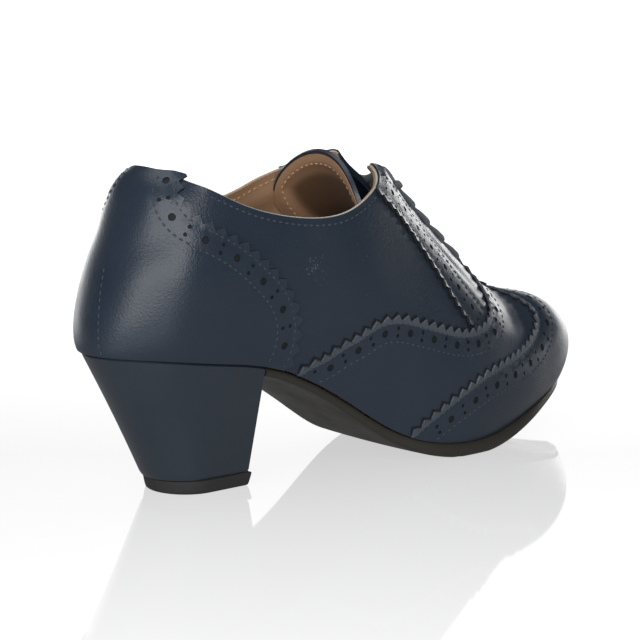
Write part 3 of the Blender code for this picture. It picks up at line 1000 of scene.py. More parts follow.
def grid_piece(name: str, columns: int, rows: int, shape: Shape) -> Thing:
    """Add a grid and lay it into its shape.

    Args:
        name: name of the piece.
        columns: faces along the first direction.
        rows: faces along the second direction.
        shape: function from shares along both directions (0 to 1) to millimetres.

    Returns:
        The new object, seams merged.
    """
    deselect()
    bpy.ops.mesh.primitive_grid_add(x_subdivisions=columns, y_subdivisions=rows, size=1.0)
    thing = bpy.context.object
    thing.name = name
    thing.data.name = name
    flat = np.zeros(len(thing.data.vertices) * 3)
    thing.data.vertices.foreach_get("co", flat)
    flat = flat.reshape(-1, 3)
    placed = to_frame(shape(flat[:, 0] + 0.5, flat[:, 1] + 0.5))
    thing.data.vertices.foreach_set("co", placed.ravel())
    thing.data.update()
    with editing(thing):
        bpy.ops.mesh.remove_doubles(threshold=MERGE)
        bpy.ops.mesh.dissolve_degenerate(threshold=1e-6)
    return thing


def mesh_piece(name: str, points: Array, faces: Sequence[tuple[int, ...]]) -> Thing:
    """Make a piece from points and faces.

    Args:
        name: name of the piece.
        points: its points in millimetres.
        faces: point numbers of each face.

    Returns:
        The new object.
    """
    mesh = bpy.data.meshes.new(name)
    mesh.from_pydata(to_frame(points).tolist(), [], faces)
    thing = bpy.data.objects.new(name, mesh)
    bpy.context.scene.collection.objects.link(thing)
    return thing


def close_ends(thing: Thing) -> None:
    """Cap the open ends of a tube and turn its faces outwards.

    Args:
        thing: tube to close.
    """
    with editing(thing):
        bpy.ops.mesh.select_mode(type="EDGE")
        bpy.ops.mesh.select_all(action="SELECT")
        bpy.ops.mesh.fill_holes(sides=0)
        bpy.ops.mesh.select_all(action="SELECT")
        bpy.ops.mesh.normals_make_consistent(inside=False)


def loft_piece(name: str, rings: Sequence[Array]) -> Thing:
    """Loft a tube through open rings of points and cap its ends.

    Args:
        name: name of the piece.
        rings: the rings in order, all with as many points.

    Returns:
        The new object.
    """
    stack = np.stack([np.vstack([ring, ring[:1]]) for ring in rings])

    def laid(a: Array, b: Array) -> Array:
        """Pick the points of the rings."""
        return stack[nearest(b, stack.shape[0]), nearest(a, stack.shape[1])]

    thing = grid_piece(name, stack.shape[1] - 1, stack.shape[0] - 1, laid)
    close_ends(thing)
    return thing


def turn_outwards(thing: Thing, outward: Array) -> None:
    """Flip a sheet whose faces look the wrong way.

    Args:
        thing: sheet to turn.
        outward: wanted direction at each vertex.
    """
    mesh = thing.data
    facing = 0.0
    for face in list(mesh.polygons)[:: max(1, len(mesh.polygons) // 400)]:
        facing += float(np.dot(np.array(face.normal), outward[face.vertices[0]]))
    if facing < 0.0:
        mesh.flip_normals()


def apply_modifier(thing: Thing, kind: str, settings: dict) -> None:
    """Add a modifier and apply it.

    Args:
        thing: object to change.
        kind: Blender's modifier type.
        settings: properties by name.
    """
    choose(thing)
    modifier = thing.modifiers.new(kind.lower(), kind)
    for key, value in settings.items():
        setattr(modifier, key, value)
    bpy.ops.object.modifier_apply(modifier=modifier.name)


def wall(thing: Thing, thickness: float, rim: int = 0, even: bool = True) -> None:
    """Give a sheet its thickness inwards.

    Args:
        thing: sheet to thicken.
        thickness: wall in millimetres.
        rim: how many slots on the rim's material lies.
        even: keep the wall even at sharp folds.
    """
    apply_modifier(thing, "SOLIDIFY", {"thickness": thickness * MM, "offset": -1.0, "use_even_offset": even,
                                       "use_quality_normals": True, "material_offset_rim": rim})


def finish_piece(thing: Thing, materials: Sequence[Material], angle: float = 40.0,
                 replaces: Sequence[str] = ()) -> None:
    """Dress a piece and put it on the shoe.

    Args:
        thing: the finished object.
        materials: its materials in order, only set where it has none.
        angle: edges sharper than this stay crisp, in degrees.
        replaces: nodes of the frame it stands for.
    """
    if not thing.data.materials:
        for material in materials:
            thing.data.materials.append(material)
    choose(thing)
    bpy.ops.object.shade_smooth_by_angle(angle=math.radians(angle))
    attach(thing, BODY)
    for node in replaces:
        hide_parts(node)
    thing.data.calc_loop_triangles()
    LOG.info("%s: %d triangles", thing.name, len(thing.data.loop_triangles))


def within(points: Array, loop: Array) -> Array:
    """Tell which flat points lie inside a closed loop.

    Args:
        points: flat points.
        loop: points of the loop in order.

    Returns:
        True for each point inside.
    """
    inside = np.zeros(len(points), bool)
    x, y = points[:, 0], points[:, 1]
    for (ax, ay), (bx, by) in zip(loop, np.roll(loop, -1, axis=0)):
        crosses = (ay > y) != (by > y)
        if not crosses.any():
            continue
        at = ax + (y - ay) / (by - ay if by != ay else 1e-12) * (bx - ax)
        inside ^= crosses & (x < at)
    return inside


def fill_panel(outline: Array, holes: Sequence[Array], inner: Array) -> tuple[Array, list[tuple[int, ...]]]:
    """Fill a flat outline with triangles, leaving its holes open.

    Args:
        outline: closed outer loop.
        holes: closed inner loops.
        inner: loose points to use inside.

    Returns:
        For each vertex its number in outline, holes and inner taken in order, and the faces.
    """
    loops = [outline, *holes]
    flat = np.vstack([*loops, inner]) if len(inner) else np.vstack(loops)
    edges = []
    start = 0
    for loop in loops:
        count = len(loop)
        edges += [(start + i, start + (i + 1) % count) for i in range(count)]
        start += count
    verts, _, faces, source, _, _ = delaunay_2d_cdt([Vector(p) for p in flat], edges, [], 0, 1e-4, True)
    known = np.array([s[0] if s else -1 for s in source])
    spots = np.array([tuple(v) for v in verts])
    triangles = np.array([f for f in faces if len(f) == 3])
    middle = spots[triangles].mean(axis=1)
    keep = within(middle, outline) & (known[triangles] >= 0).all(axis=1)
    for hole in holes:
        keep &= ~within(middle, hole)
    return known, [tuple(t) for t in triangles[keep]]


class Stitching:
    """All the stitches of the shoe, one joined mesh of small thread loops."""

    PITCH = 2.8
    LENGTH = 2.0
    WIDTH = 0.85
    HEIGHT = 0.55
    AIM = 0.8           # the row's direction is read this far ahead and behind

    def __init__(self, name: str) -> None:
        """Model one stitch, to be copied along the rows.

        Args:
            name: name of the joined piece.
        """
        self.name = name
        deselect()
        bpy.ops.mesh.primitive_uv_sphere_add(segments=8, ring_count=5, radius=0.5)
        model = bpy.context.object
        with editing(model):
            bpy.ops.transform.rotate(value=math.pi / 2.0, orient_axis="Y", center_override=(0.0, 0.0, 0.0))
        self.model = np.array([v.co for v in model.data.vertices])
        self.model *= np.array([self.LENGTH, self.WIDTH, self.HEIGHT])
        self.model[:, 2] -= 0.5 * (np.abs(self.model[:, 0]) / (0.5 * self.LENGTH)) ** 3 * self.HEIGHT
        self.faces = [tuple(face.vertices) for face in model.data.polygons]
        bpy.data.objects.remove(model)
        self.points: list[Array] = []

    def row(self, points: Array, normals: Array) -> None:
        """Sew a row along a path.

        Args:
            points: path on the leather, in millimetres.
            normals: outward directions along it.
        """
        length = running_length(points)
        count = int(length[-1] / self.PITCH)
        if count < 1:
            return
        at = (np.arange(count) + 0.5) * length[-1] / count
        spots = read_off(at, length, points)
        up = unit(read_off(at, length, normals))
        along = unit(read_off(at + self.AIM, length, points) - read_off(at - self.AIM, length, points))
        along = unit(along - np.sum(along * up, -1, keepdims=True) * up)
        wide = np.cross(up, along)
        for k in range(count):
            turn = np.stack([along[k], wide[k], up[k]])
            self.points.append(self.model @ turn + spots[k])

    def build(self, material: Material) -> None:
        """Join the stitches into one piece.

        Args:
            material: the thread.
        """
        count = len(self.model)
        points = np.vstack(self.points)
        faces = []
        for k in range(len(self.points)):
            faces += [tuple(i + k * count for i in face) for face in self.faces]
        finish_piece(mesh_piece(self.name, points, faces), [material], 180.0)


@dataclass
class Panel:
    """A leather overlay: cut flat with teeth and holes, then lasted onto the form."""

    last: Last
    name: str
    band: Band
    guides: list[Line]
    outline: Array
    holes: list[Array] = field(default_factory=list)
    extra: Optional[Shape] = None
    pairs: Sequence[tuple[int, int]] = ()
    spacing: float = 2.2
    upright: float = 2.2 / 90.0     # spacing up the section, as a share of it
    below_ridge: float = 0.985      # loose points stay below this share
    shade: float = 1.4              # how far the painted-shadow strip reaches beyond the teeth

    def chart(self, places: Array) -> Array:
        """Lay places out flat, unrolled round the shoe."""
        return places * np.array([ROUND_THE_SHOE, UP_THE_SHOE])

    def outside(self, u: Array, v: Array) -> Array:
        """Measure how far places lie outside the first stitch row.

        Args:
            u: places round the shoe.
            v: places up the section.

        Returns:
            Distances, below 0 inside the row.
        """
        points = self.last.point(u, v)
        out = np.full(len(points), -1e9)
        best = np.full(len(points), 1e9)
        for guide in self.guides:
            gaps = np.linalg.norm(points[:, None, :] - guide.points[None, ::2, :], axis=-1)
            k = np.argmin(gaps, axis=1)
            gap = gaps[np.arange(len(points)), k]
            signed = np.sum((points - guide.points[::2][k]) * guide.rear[::2][k], -1) * self.band.outside
            reach = np.where(gap < 3.0, signed, np.where(signed > 0.0, gap, -gap))
            out = np.where(gap < best, reach, out)
            best = np.minimum(best, gap)
        return out

    def lift(self, u: Array, v: Array) -> Array:
        """Measure how far the panel's face stands off the form.

        Args:
            u: places round the shoe.
            v: places up the section.

        Returns:
            Lift at each place.
        """
        out = self.outside(u, v)
        inside = np.maximum(-out, 0.0)
        raised = self.band.far + (self.band.near - self.band.far) * np.exp(-((inside / 14.0) ** 2))
        reach = self.band.root + self.band.tooth
        raised = raised + self.band.flare * np.clip(out / reach, 0.0, 1.2) ** 1.4
        for row, depth in ((0.0, 0.35), (self.band.second_row, 0.2)):
            raised = raised - depth * np.exp(-(((out + row) / 0.8) ** 2))
        if self.extra is not None:
            raised = raised + self.extra(u, v)
        return raised

    def inner_points(self) -> Array:
        """Spread loose places over the panel, clear of its edges.

        Returns:
            Rows of u and v.
        """
        loop = self.chart(self.outline)
        low, high = self.outline.min(axis=0), self.outline.max(axis=0)
        u = np.arange(low[0], high[0], self.spacing / ROUND_THE_SHOE)
        v = np.arange(max(low[1], 0.0), high[1], self.upright)
        grid = np.stack(np.meshgrid(u, v, indexing="ij"), -1).reshape(-1, 2)
        grid = grid[grid[:, 1] < self.below_ridge]
        grid = grid[within(self.chart(grid), loop)]
        flat = self.chart(grid)
        rows = [np.stack(g.place(np.arange(0.6, g.length, 1.1), np.array(0.0)), 1) for g in self.guides]
        row = np.vstack(rows if self.band.pale else [np.zeros((0, 2))])
        row = row[(row[:, 1] > 0.006) & (row[:, 1] < self.below_ridge)]
        borders = [loop] + [self.chart(hole) for hole in self.holes]
        border = np.vstack([*borders, self.chart(row)])
        keep = np.ones(len(grid), bool)
        for part in np.array_split(np.arange(len(grid)), max(1, len(grid) // 500)):
            gap = np.linalg.norm(flat[part][:, None, :] - border[None, :, :], axis=-1).min(axis=1)
            keep[part] = gap > 0.8
        for hole in borders[1:]:
            keep &= ~within(flat, hole)
        return np.vstack([grid[keep], row])

    def build(self, materials: Sequence[Material]) -> None:
        """Cut, last and thicken the panel.

        Args:
            materials: face leather, cut edge and flared strip.
        """
        inner = self.inner_points()
        places = np.vstack([self.outline, *self.holes, inner])
        holes = [self.chart(hole) for hole in self.holes]
        known, faces = fill_panel(self.chart(self.outline), holes, self.chart(inner))
        lift = self.lift(places[:, 0], places[:, 1])
        points = self.last.surface(places[:, 0], places[:, 1], lift)
        for a, b in self.pairs:
            points[a] = points[b] = 0.5 * (points[a] + points[b]) * np.array([1.0, 0.0, 1.0])
        normal = self.last.normal(places[:, 0], places[:, 1])
        points, normal = points[np.maximum(known, 0)], normal[np.maximum(known, 0)]
        thing = mesh_piece(self.name, points, faces)
        turn_outwards(thing, normal)
        out = self.outside(places[:, 0], places[:, 1])[np.maximum(known, 0)]
        thing.data.attributes.new(BEYOND, "FLOAT", "POINT").data.foreach_set("value", out)
        with editing(thing):
            bpy.ops.mesh.remove_doubles(threshold=MERGE)
            bpy.ops.mesh.delete_loose()
        for material in materials:
            thing.data.materials.append(material)
        beyond = thing.data.attributes[BEYOND].data
        # Faces of the flared strip take the paler third material: painted highlight.
        for face in thing.data.polygons:
            if self.band.pale and min(beyond[k].value for k in face.vertices) > -0.2:
                face.material_index = 2
        thing.data.attributes.remove(thing.data.attributes[BEYOND])
        wall(thing, OVERLAY, rim=1, even=False)
        for face in thing.data.polygons:
            if face.material_index > 2:
                face.material_index = 1
        finish_piece(thing, materials, 38.0)

    def painted_shadow_rows(self, guide: Line) -> list[Array]:
        """Lay the near-black strip under the pinked edge: painted shadow of the teeth.

        Args:
            guide: first stitch row beside the edge.

        Returns:
            Rows of points along the guide, NaN where they would leave the quarters.
        """
        tips = teeth(guide, self.band, 0.0, guide.length, self.shade)
        at = np.linspace(0.0, guide.length, len(tips))
        roots = np.stack(guide.place(at, np.array(0.3 * self.band.outside)), 1)
        rows = []
        for share in (0.0, 0.5, 1.0):
            u, v = (roots + (tips - roots) * share).T
            lift = self.band.under + (self.extra(u, v) if self.extra is not None else 0.0)
            off = (v < 0.0) | (v > self.last.edge(u) - 0.004) & (v < 0.97)
            laid = self.last.surface(u, v, np.broadcast_to(lift, u.shape))
            rows.append(np.where(off[:, None], np.nan, laid))
        return rows

    def hole_floors(self, depth: float) -> list[Array]:
        """Lay a floor under each hole, a little wider than the hole.

        Args:
            depth: how far it lies below the face.

        Returns:
            One ring of points per hole.
        """
        rings = []
        for hole in self.holes:
            wider = hole.mean(axis=0) + (hole - hole.mean(axis=0)) * 1.12
            lift = self.lift(wider[:, 0], wider[:, 1]) - depth
            rings.append(self.last.surface(wider[:, 0], wider[:, 1], lift))
        return rings

    def sew(self, stitching: Stitching, guide: Line, trim: tuple[float, float]) -> None:
        """Sew both rows along a guide.

        Args:
            stitching: where the stitches are gathered.
            guide: first stitch row of the band.
            trim: length left unsewn at the start and the end.
        """
        at = np.arange(trim[0], guide.length - trim[1], 0.8)
        for inset in (0.0, self.band.second_row):
            u, v = guide.place(at, np.full(len(at), -inset * self.band.outside))
            keep = (v > 0.004) & (v < self.last.edge(u) - 0.012)
            u, v = u[keep], v[keep]
            if len(u) > 3:
                points = self.last.surface(u, v, self.lift(u, v) + 0.16)
                stitching.row(points, self.last.normal(u, v))


def teeth(guide: Line, band: Band, start: float, end: float, beyond: float = 0.0) -> Array:
    """Return the pinked edge beside a guide, tip at the start.

    Args:
        guide: first stitch row.
        band: sizes of the edge.
        start: distance along the guide where the teeth begin.
        end: distance where they stop.
        beyond: further distance out.

    Returns:
        Places of roots, tips and the middles of the flanks, in order along the guide.
    """
    count = max(2, int(round(abs(end - start) / band.pitch)))
    at = np.linspace(start, end, 4 * count + 1)
    rise = np.array([1.0, 0.5, 0.0, 0.5])[np.arange(4 * count + 1) % 4]
    u, v = guide.place(at, (band.root + band.tooth * rise + beyond) * band.outside)
    return np.stack([u, v], 1)


def punches(guide: Line, band: Band, start: float, end: float) -> list[Array]:
    """Return the punched holes beside a guide: one large, then two small across the band.

    Args:
        guide: first stitch row.
        band: sizes of the holes.
        start: distance of the first large hole from the line's start.
        end: distance from the line's end where the holes stop.

    Returns:
        One closed loop of places per hole.
    """
    loops = []
    last = guide.last
    inset = np.full(len(guide.at), -band.hole_inset * band.outside)
    line = Line(last, *guide.place(guide.at, inset), guide.side)
    spots = []
    step = 0.5 * band.hole_pitch
    for k, at in enumerate(np.arange(start - step, line.length - end, step)):
        if k % 2 == 1:
            spots.append((at, 0.0, band.big_hole, BIG_HOLE_SIDES))
        else:
            spots += [(at, side * band.pair, band.small_hole, SMALL_HOLE_SIDES) for side in (-0.5, 0.5)]
    for at, back, radius, sides in spots:
        u, v = line.place(np.array([at]), np.array([back]))
        if v[0] < 0.025 or v[0] > 0.965 or v[0] > last.edge(u)[0] - 0.012:
            continue
        axes = line.read(np.array([at]), line.along), line.read(np.array([at]), line.rear)
        loops.append(last.ring((u[0], v[0]), axes, radius, sides))
    return loops


@dataclass
class Overlays:
    """Heel counter, facings, vamp and winged toe cap, with their rows of stitches."""

    last: Last
    stitching: Stitching
    hole_depth: float = 0.55
    facing_over: float = 0.002  # how far the facings stand over the collar, as a share
    floors: list[Array] = field(default_factory=list)
    strips: list[list[Array]] = field(default_factory=list)
    counter_band: Band = Band(-1, pitch=5.6, tooth=2.7, hole_pitch=15.3, flare=0.45, near=0.6, far=0.25)
    vamp_band: Band = Band(1, pitch=4.9, second_row=7.2, hole_inset=3.2, pair=3.0, near=0.55, far=0.15,
                           pale=True)
    wing_band: Band = Band(1, second_row=8.8, hole_inset=4.8, hole_pitch=13.8, near=0.85, far=0.35,
                           under=0.35, pale=True)
    facing_band: Band = Band(1, pitch=4.8, tooth=2.0, second_row=10.5, hole_inset=5.2, hole_pitch=10.5,
                             big_hole=1.3, small_hole=0.7, pair=3.6, flare=0.5, near=0.55, far=0.5)

    def both(self, marks: Sequence[Mark]) -> list[Line]:
        """Draw a guide on the outer side and its mirror image on the inner side."""
        return [Line.through(self.last, marks, side) for side in Side]

    def trim_low(self, edge: Array) -> Array:
        """Drop the places of an edge that hang below the sole line, and end it on that line.

        Args:
            edge: rows of u and v, from the sole upwards.

        Returns:
            The shortened edge.
        """
        first = int(np.argmax(edge[:, 1] > 0.0))
        a, b = edge[first - 1], edge[first]
        start = a + (b - a) * (-a[1]) / (b[1] - a[1])
        return np.vstack([start, edge[first:]])

    def trim_high(self, edge: Array, over: Array) -> Array:
        """Drop the places of an edge from where it stands over the collar by more than a share."""
        past = np.nonzero(edge[:, 1] > self.last.edge(edge[:, 0]) + over)[0]
        return edge[: past[0]] if len(past) else edge

    def above_collar(self, u: Array) -> Array:
        """Return how far the counter's loose top edge stands over the collar, as a share."""
        away = np.minimum(np.mod(u, 1.0), 1.0 - np.mod(u, 1.0))
        outer = np.mod(u, 1.0) < 0.5
        return (0.3 + np.where(outer, 1.7, 0.0) * smooth_step(away, 0.015, 0.055)) / self.last.GIRTH

    def lay(self, panel: Panel, materials: Sequence[Material], trim: tuple[float, float]) -> None:
        """Build a panel with its stitches, and keep the bottoms of its punched holes.

        Args:
            panel: the cut panel.
            materials: face leather, cut edge and flared strip.
            trim: length left unsewn at the start and the end of each row.
        """
        panel.build(materials)
        self.floors += panel.hole_floors(self.hole_depth)
        for guide in panel.guides:
            panel.sew(self.stitching, guide, trim)

    def counter(self, materials: Sequence[Material]) -> None:
        """Build the heel counter that wraps the back of the shoe.

        Args:
            materials: face leather, cut edge and flared strip.
        """
        band = self.counter_band
        guides = self.both(COUNTER_ROW)
        edges = []
        for guide in guides:
            edge = self.trim_low(teeth(guide, band, 0.0, guide.length))
            edges.append(self.trim_high(edge, self.above_collar(edge[:, 0])))
        outer, inner = edges[0], edges[1] - np.array([1.0, 0.0])
        span = np.linspace(outer[-1, 0], inner[-1, 0], 90)[1:-1]
        collar = np.stack([span, self.last.edge(span) + self.above_collar(span)], 1)
        floor = np.linspace(inner[0, 0], outer[0, 0], 110)[1:-1]
        sole = np.stack([floor, np.zeros(len(floor))], 1)
        outline = np.vstack([outer, collar, inner[::-1], sole])
        holes = []
        for guide in guides:
            loops = punches(guide, band, 11.1, 1.0)
            shift = 1.0 if guide.side is Side.INNER else 0.0
            holes += [loop - np.array([shift, 0.0]) for loop in loops]
        panel = Panel(self.last, "heel_counter", band, guides, outline, holes)
        self.lay(panel, materials, (2.0, 1.0))
        seam = Line.through(self.last, BACK_SEAM, Side.OUTER)
        points = self.last.surface(seam.u, seam.v, panel.lift(seam.u, seam.v) + 0.1)
        self.stitching.row(points, seam.normal)

    def front_panel(self, name: str, marks: Sequence[Mark], band: Band, first_hole: float,
                    materials: Sequence[Material], extra: Optional[Shape] = None) -> None:
        """Build a panel that covers the front of the shoe behind a pinked edge.

        Args:
            name: name of the piece.
            marks: its first stitch row, from the sole to the ridge.
            band: sizes of its edge.
            first_hole: distance of the first large hole from the sole.
            materials: face leather, cut edge and flared strip.
            extra: further lift over layers below.
        """
        guides = self.both(marks)
        outer, inner = (self.trim_low(teeth(g, band, g.length, 0.0)[::-1]) for g in guides)
        inner[-1, 0] = self.last.mirrored(outer[-1:, 0])[0]
        ridge_u = np.linspace(outer[-1, 0], self.last.tip, 46)[1:-1]
        ridge = np.stack([ridge_u, np.ones(len(ridge_u))], 1)
        inner_ridge = np.stack([self.last.mirrored(ridge_u), np.ones(len(ridge_u))], 1)
        tip = np.array([[self.last.tip, 1.0]])
        floor = np.linspace(inner[0, 0], outer[0, 0], 200)[1:-1]
        sole = np.stack([floor, np.zeros(len(floor))], 1)
        outline = np.vstack([outer, ridge, tip, inner_ridge[::-1], inner[::-1], sole])
        first = len(outer) - 1
        last_one = first + 2 * (len(ridge) + 1)
        pairs = [(first + k, last_one - k) for k in range(len(ridge) + 1)]
        holes = []
        for guide in guides:
            holes += punches(guide, band, first_hole, 3.0)
        panel = Panel(self.last, name, band, guides, outline, holes, extra, pairs)
        self.lay(panel, materials, (1.0, 0.5))
        self.strips += [panel.painted_shadow_rows(guide) for guide in guides]

    def facing(self, side: Side, materials: Sequence[Material]) -> None:
        """Build the lace facing of one side, with its punched eyelets.

        Args:
            side: side of the foot.
            materials: face leather, cut edge and flared strip.
        """
        band = self.facing_band
        guide = Line.through(self.last, FACING_ROW, side)
        edge = self.trim_high(teeth(guide, band, 0.0, guide.length), self.facing_over)
        corner = float(self.last.at_top(FACING_TOP_X, side))
        throat = float(self.last.at_top(THROAT_X - 3.0, side))
        collar_u = np.linspace(edge[-1, 0], corner, 26)[1:]
        collar = np.stack([collar_u, self.last.edge(collar_u) + self.facing_over], 1)
        gap_u = np.linspace(corner, throat, 46)[1:]
        gap = np.stack([gap_u, self.last.edge(gap_u)], 1)
        under = np.linspace(gap[-1], edge[0], 24)[1:-1]
        outline = np.vstack([edge, collar, gap, under])
        holes = punches(guide, band, 6.0, 6.0)
        for k in range(EYELET_PAIRS):
            holes.append(eyelet_loop(self.last, k, side, EYELET_RADIUS))
        panel = Panel(self.last, "facing_" + side.name.lower(), band, [guide], outline, holes)
        self.lay(panel, materials, (1.0, 0.5))
        del self.floors[-EYELET_PAIRS:]
        self.strips.append(panel.painted_shadow_rows(guide))

    def over_facings(self, u: Array, v: Array) -> Array:
        """Raise the vamp where it covers the lower ends of the facings."""
        station = self.last.values(u)[..., 0]
        fade = 1.0 - smooth_step(station, 186.0, 204.0)
        return 0.75 * smooth_step(v, 0.31, 0.48) * fade

    def hole_shade_floors(self, material: Material) -> None:
        """Lay the near-black bottoms of the punched holes, painted shade, as one piece.

        Args:
            material: its near-black colour, painted shade.
        """
        points = np.vstack(self.floors)
        faces = []
        start = 0
        for ring in self.floors:
            faces.append(tuple(range(start, start + len(ring))))
            start += len(ring)
        finish_piece(mesh_piece("punched_hole_shade_floors", points, faces), [material])

    def painted_shadow_strips(self, material: Material) -> None:
        """Lay the near-black strips under the pinked edges, painted shadow of the teeth, as one piece.

        Args:
            material: its near-black colour, painted shadow.
        """
        points: list[Array] = []
        faces = []
        for rows in self.strips:
            start = len(points)
            count = len(rows[0])
            points += [point for row in rows for point in row]
            for r in range(len(rows) - 1):
                for k in range(count - 1):
                    a = start + r * count + k
                    corners = (a, a + 1, a + count + 1, a + count)
                    if not any(np.isnan(points[c][0]) for c in corners):
                        faces.append(corners)
        thing = mesh_piece("pinked_teeth_painted_shadows", np.nan_to_num(np.array(points)), faces)
        with editing(thing):
            bpy.ops.mesh.delete_loose()
        finish_piece(thing, [material], 60.0)

    def build(self, leather: Material, cut: Material, pale: Material,
              dark: Material, under: Material) -> None:
        """Build all overlays.

        Args:
            leather: face material.
            cut: material of the cut edges.
            pale: flared strips, paler as a painted highlight.
            dark: bottoms of the holes, painted shade.
            under: painted-shadow strips under the pinked edges.
        """
        materials = (leather, cut, pale)
        self.counter(materials)
        for side in Side:
            self.facing(side, materials)
        self.front_panel("vamp", VAMP_ROW, self.vamp_band, 14.6, materials, self.over_facings)
        self.front_panel("wing_toe_cap", WING_ROW, self.wing_band, 19.5, materials)
        self.hole_shade_floors(dark)
        self.painted_shadow_strips(under)


def eyelet_place(last: Last, number: int, side: Side) -> tuple[float, float]:
    """Return the place of an eyelet, counted from the top pair."""
    x = EYELET_FIRST_X + number * EYELET_STEP_X
    return last.across(x, side.value * (float(half_gap(np.array(x))) + EYELET_INSET))


def eyelet_loop(last: Last, number: int, side: Side, radius: float) -> Array:
    """Return a closed loop round an eyelet.

    Args:
        last: the form.
        number: eyelet, counted from the top pair.
        side: side of the foot.
        radius: radius of the loop in millimetres.

    Returns:
        Rows of u and v.
    """
    u, v = eyelet_place(last, number, side)
    along, _, normal = last.tangents(np.array([u]), np.array([v]))
    first = unit(along)
    return last.ring((u, v), (first, np.cross(normal, first)), radius, BIG_HOLE_SIDES)


@dataclass
class Upper:
    """Quarters and base leather, and the lining inside them."""

    last: Last
    quarter_columns: int = 110
    facing_columns: int = 44
    toe_columns: int = 60
    rows: int = 44
    sock_inset: float = 1.9
    facing_lining: float = 5.0      # the navy lining begins this far behind the facing's corner
    sole_side: float = 90.0         # cut edges below this height are not the collar's
    stitch_drop: float = 2.3        # the collar's stitches run this far below its edge

    def loop(self) -> Array:
        """Space the columns round the shoe; both sides share their ridge points.

        Returns:
            Rising u from 0 to 1.
        """
        last = self.last
        corner = float(last.at_top(FACING_TOP_X, Side.OUTER))
        before = float(last.at_top(THROAT_X - 1.2, Side.OUTER))
        throat = float(last.at_top(THROAT_X + 0.3, Side.OUTER))
        spans = (
            (0.0, corner, self.quarter_columns),
            (corner, before, self.facing_columns),
            (throat, last.tip, self.toe_columns),
        )
        outer = np.unique(np.concatenate([np.linspace(a, b, n + 1) for a, b, n in spans]))
        inner = last.mirrored(outer[1:-1])[::-1]
        return np.concatenate([outer, inner, [1.0]])

    def eyelet_cutter(self) -> Thing:
        """Make the round punches for the eyelets.

        Returns:
            One joined cutter.
        """
        punched = []
        for side in Side:
            for k in range(EYELET_PAIRS):
                u, v = eyelet_place(self.last, k, side)
                spot = to_frame(self.last.point(np.array([u]), np.array([v]))[0])
                normal = self.last.normal(np.array([u]), np.array([v]))
                turn = Vector((0.0, 0.0, 1.0)).rotation_difference(Vector(normal[0]))
                deselect()
                bpy.ops.mesh.primitive_cylinder_add(
                    vertices=20, radius=EYELET_RADIUS * MM, depth=8.0 * MM, location=spot,
                    rotation=turn.to_euler())
                punched.append(bpy.context.object)
        deselect()
        for thing in punched:
            thing.select_set(True)
        bpy.context.view_layer.objects.active = punched[0]
        bpy.ops.object.join()
        return bpy.context.object

    def shell(self, name: str, shape: Shape) -> Thing:
        """Lay a grid round the form.

        Args:
            name: name of the piece.
            shape: lift above the form from u and v.

        Returns:
            A sheet with its faces outwards.
        """
        loop = self.loop()

        def laid(a: Array, b: Array) -> Array:
            """Spread the rows between the sole line and the top edge."""
            u = loop[nearest(a, len(loop))]
            v = b * self.last.edge(u)
            return self.last.surface(u, v, shape(u, v))

        thing = grid_piece(name, len(loop) - 1, self.rows, laid)
        points = np.array([v.co for v in thing.data.vertices])
        turn_outwards(thing, points - np.array([0.0, 0.0, 0.05]))
        return thing

    def padding(self, u: Array, v: Array) -> Array:
        """Swell the lining inwards in a roll below the collar.

        Args:
            u: places round the shoe.
            v: places up the section.

        Returns:
            Lift of its outer face.
        """
        below = (self.last.edge(u) - v) * self.last.GIRTH
        back = smooth_step(0.27 - np.minimum(u, 1.0 - u), 0.0, 0.03)
        roll = 1.2 * np.exp(-(((below - 6.5) / 3.2) ** 2)) - 0.25 * np.exp(-(((below - 12.5) / 1.6) ** 2))
        return BASE_LIFT - LEATHER - 0.02 - roll * back

    def build(self, leather: Material, edge: Material, tan: Material) -> None:
        """Build the leather and its lining.

        Args:
            leather: face of the quarters.
            edge: cut edge at the collar.
            tan: lining.
        """
        cutter = self.eyelet_cutter()
        outer = self.shell("quarters", lambda u, v: np.full(len(u), BASE_LIFT))
        outer.data.materials.append(leather)
        outer.data.materials.append(edge)
        wall(outer, LEATHER, rim=1)
        for face in outer.data.polygons:
            spot = np.array(face.center) / MM + MIDDLE
            if spot[2] < self.sole_side or spot[0] > FACING_TOP_X - self.facing_lining:
                face.material_index = 0

        inner = self.shell("lining", self.padding)
        inner.data.materials.append(tan)
        inner.data.materials.append(leather)
        wall(inner, LINING)
        for face in inner.data.polygons:
            spot = np.array(face.center) / MM + MIDDLE
            if spot[0] > FACING_TOP_X - self.facing_lining:
                face.material_index = 1
        punch = {"operation": "DIFFERENCE", "solver": "EXACT", "object": cutter}
        for thing in (outer, inner):
            apply_modifier(thing, "BOOLEAN", punch)
        bpy.data.objects.remove(cutter)
        finish_piece(outer, [], 38.0, ["upper"])
        finish_piece(inner, [], 38.0)
        self.binding(edge)
        self.sock(tan)

    def binding(self, material: Material) -> None:
        """Build the pale backing that shows as a thin line along the collar's cut edge.

        Args:
            material: cream backing.
        """
        start, end = (float(self.last.at_top(FACING_TOP_X - 3.0, side)) for side in Side)
        lifts = np.array([-0.6, -0.6, -0.75, -1.0, -1.25, -1.4])
        rises = np.array([-0.8, 0.15, 0.3, 0.35, 0.25, -0.8]) / self.last.GIRTH

        def laid(a: Array, b: Array) -> Array:
            """Run the rounded profile along the collar."""
            u = start + (end - 1.0 - start) * a
            k = nearest(b, len(lifts))
            return self.last.surface(np.mod(u, 1.0), self.last.edge(u) + rises[k], lifts[k])

        thing = grid_piece("collar_backing", 300, len(lifts) - 1, laid)
        finish_piece(thing, [material], 60.0)

    def sock(self, material: Material) -> None:
        """Build the lined insole, out to the lining all round.

        Args:
            material: lining leather.
        """
        outer = np.linspace(0.0, self.last.tip, 90)
        sides = []
        for u in (outer, self.last.mirrored(outer)):
            line = self.last.values(u)[:, :3].copy()
            line[:, :2] -= self.last.outward(u) * self.sock_inset
            sides.append(line)
        sides[1][0], sides[1][-1] = sides[0][0], sides[0][-1]

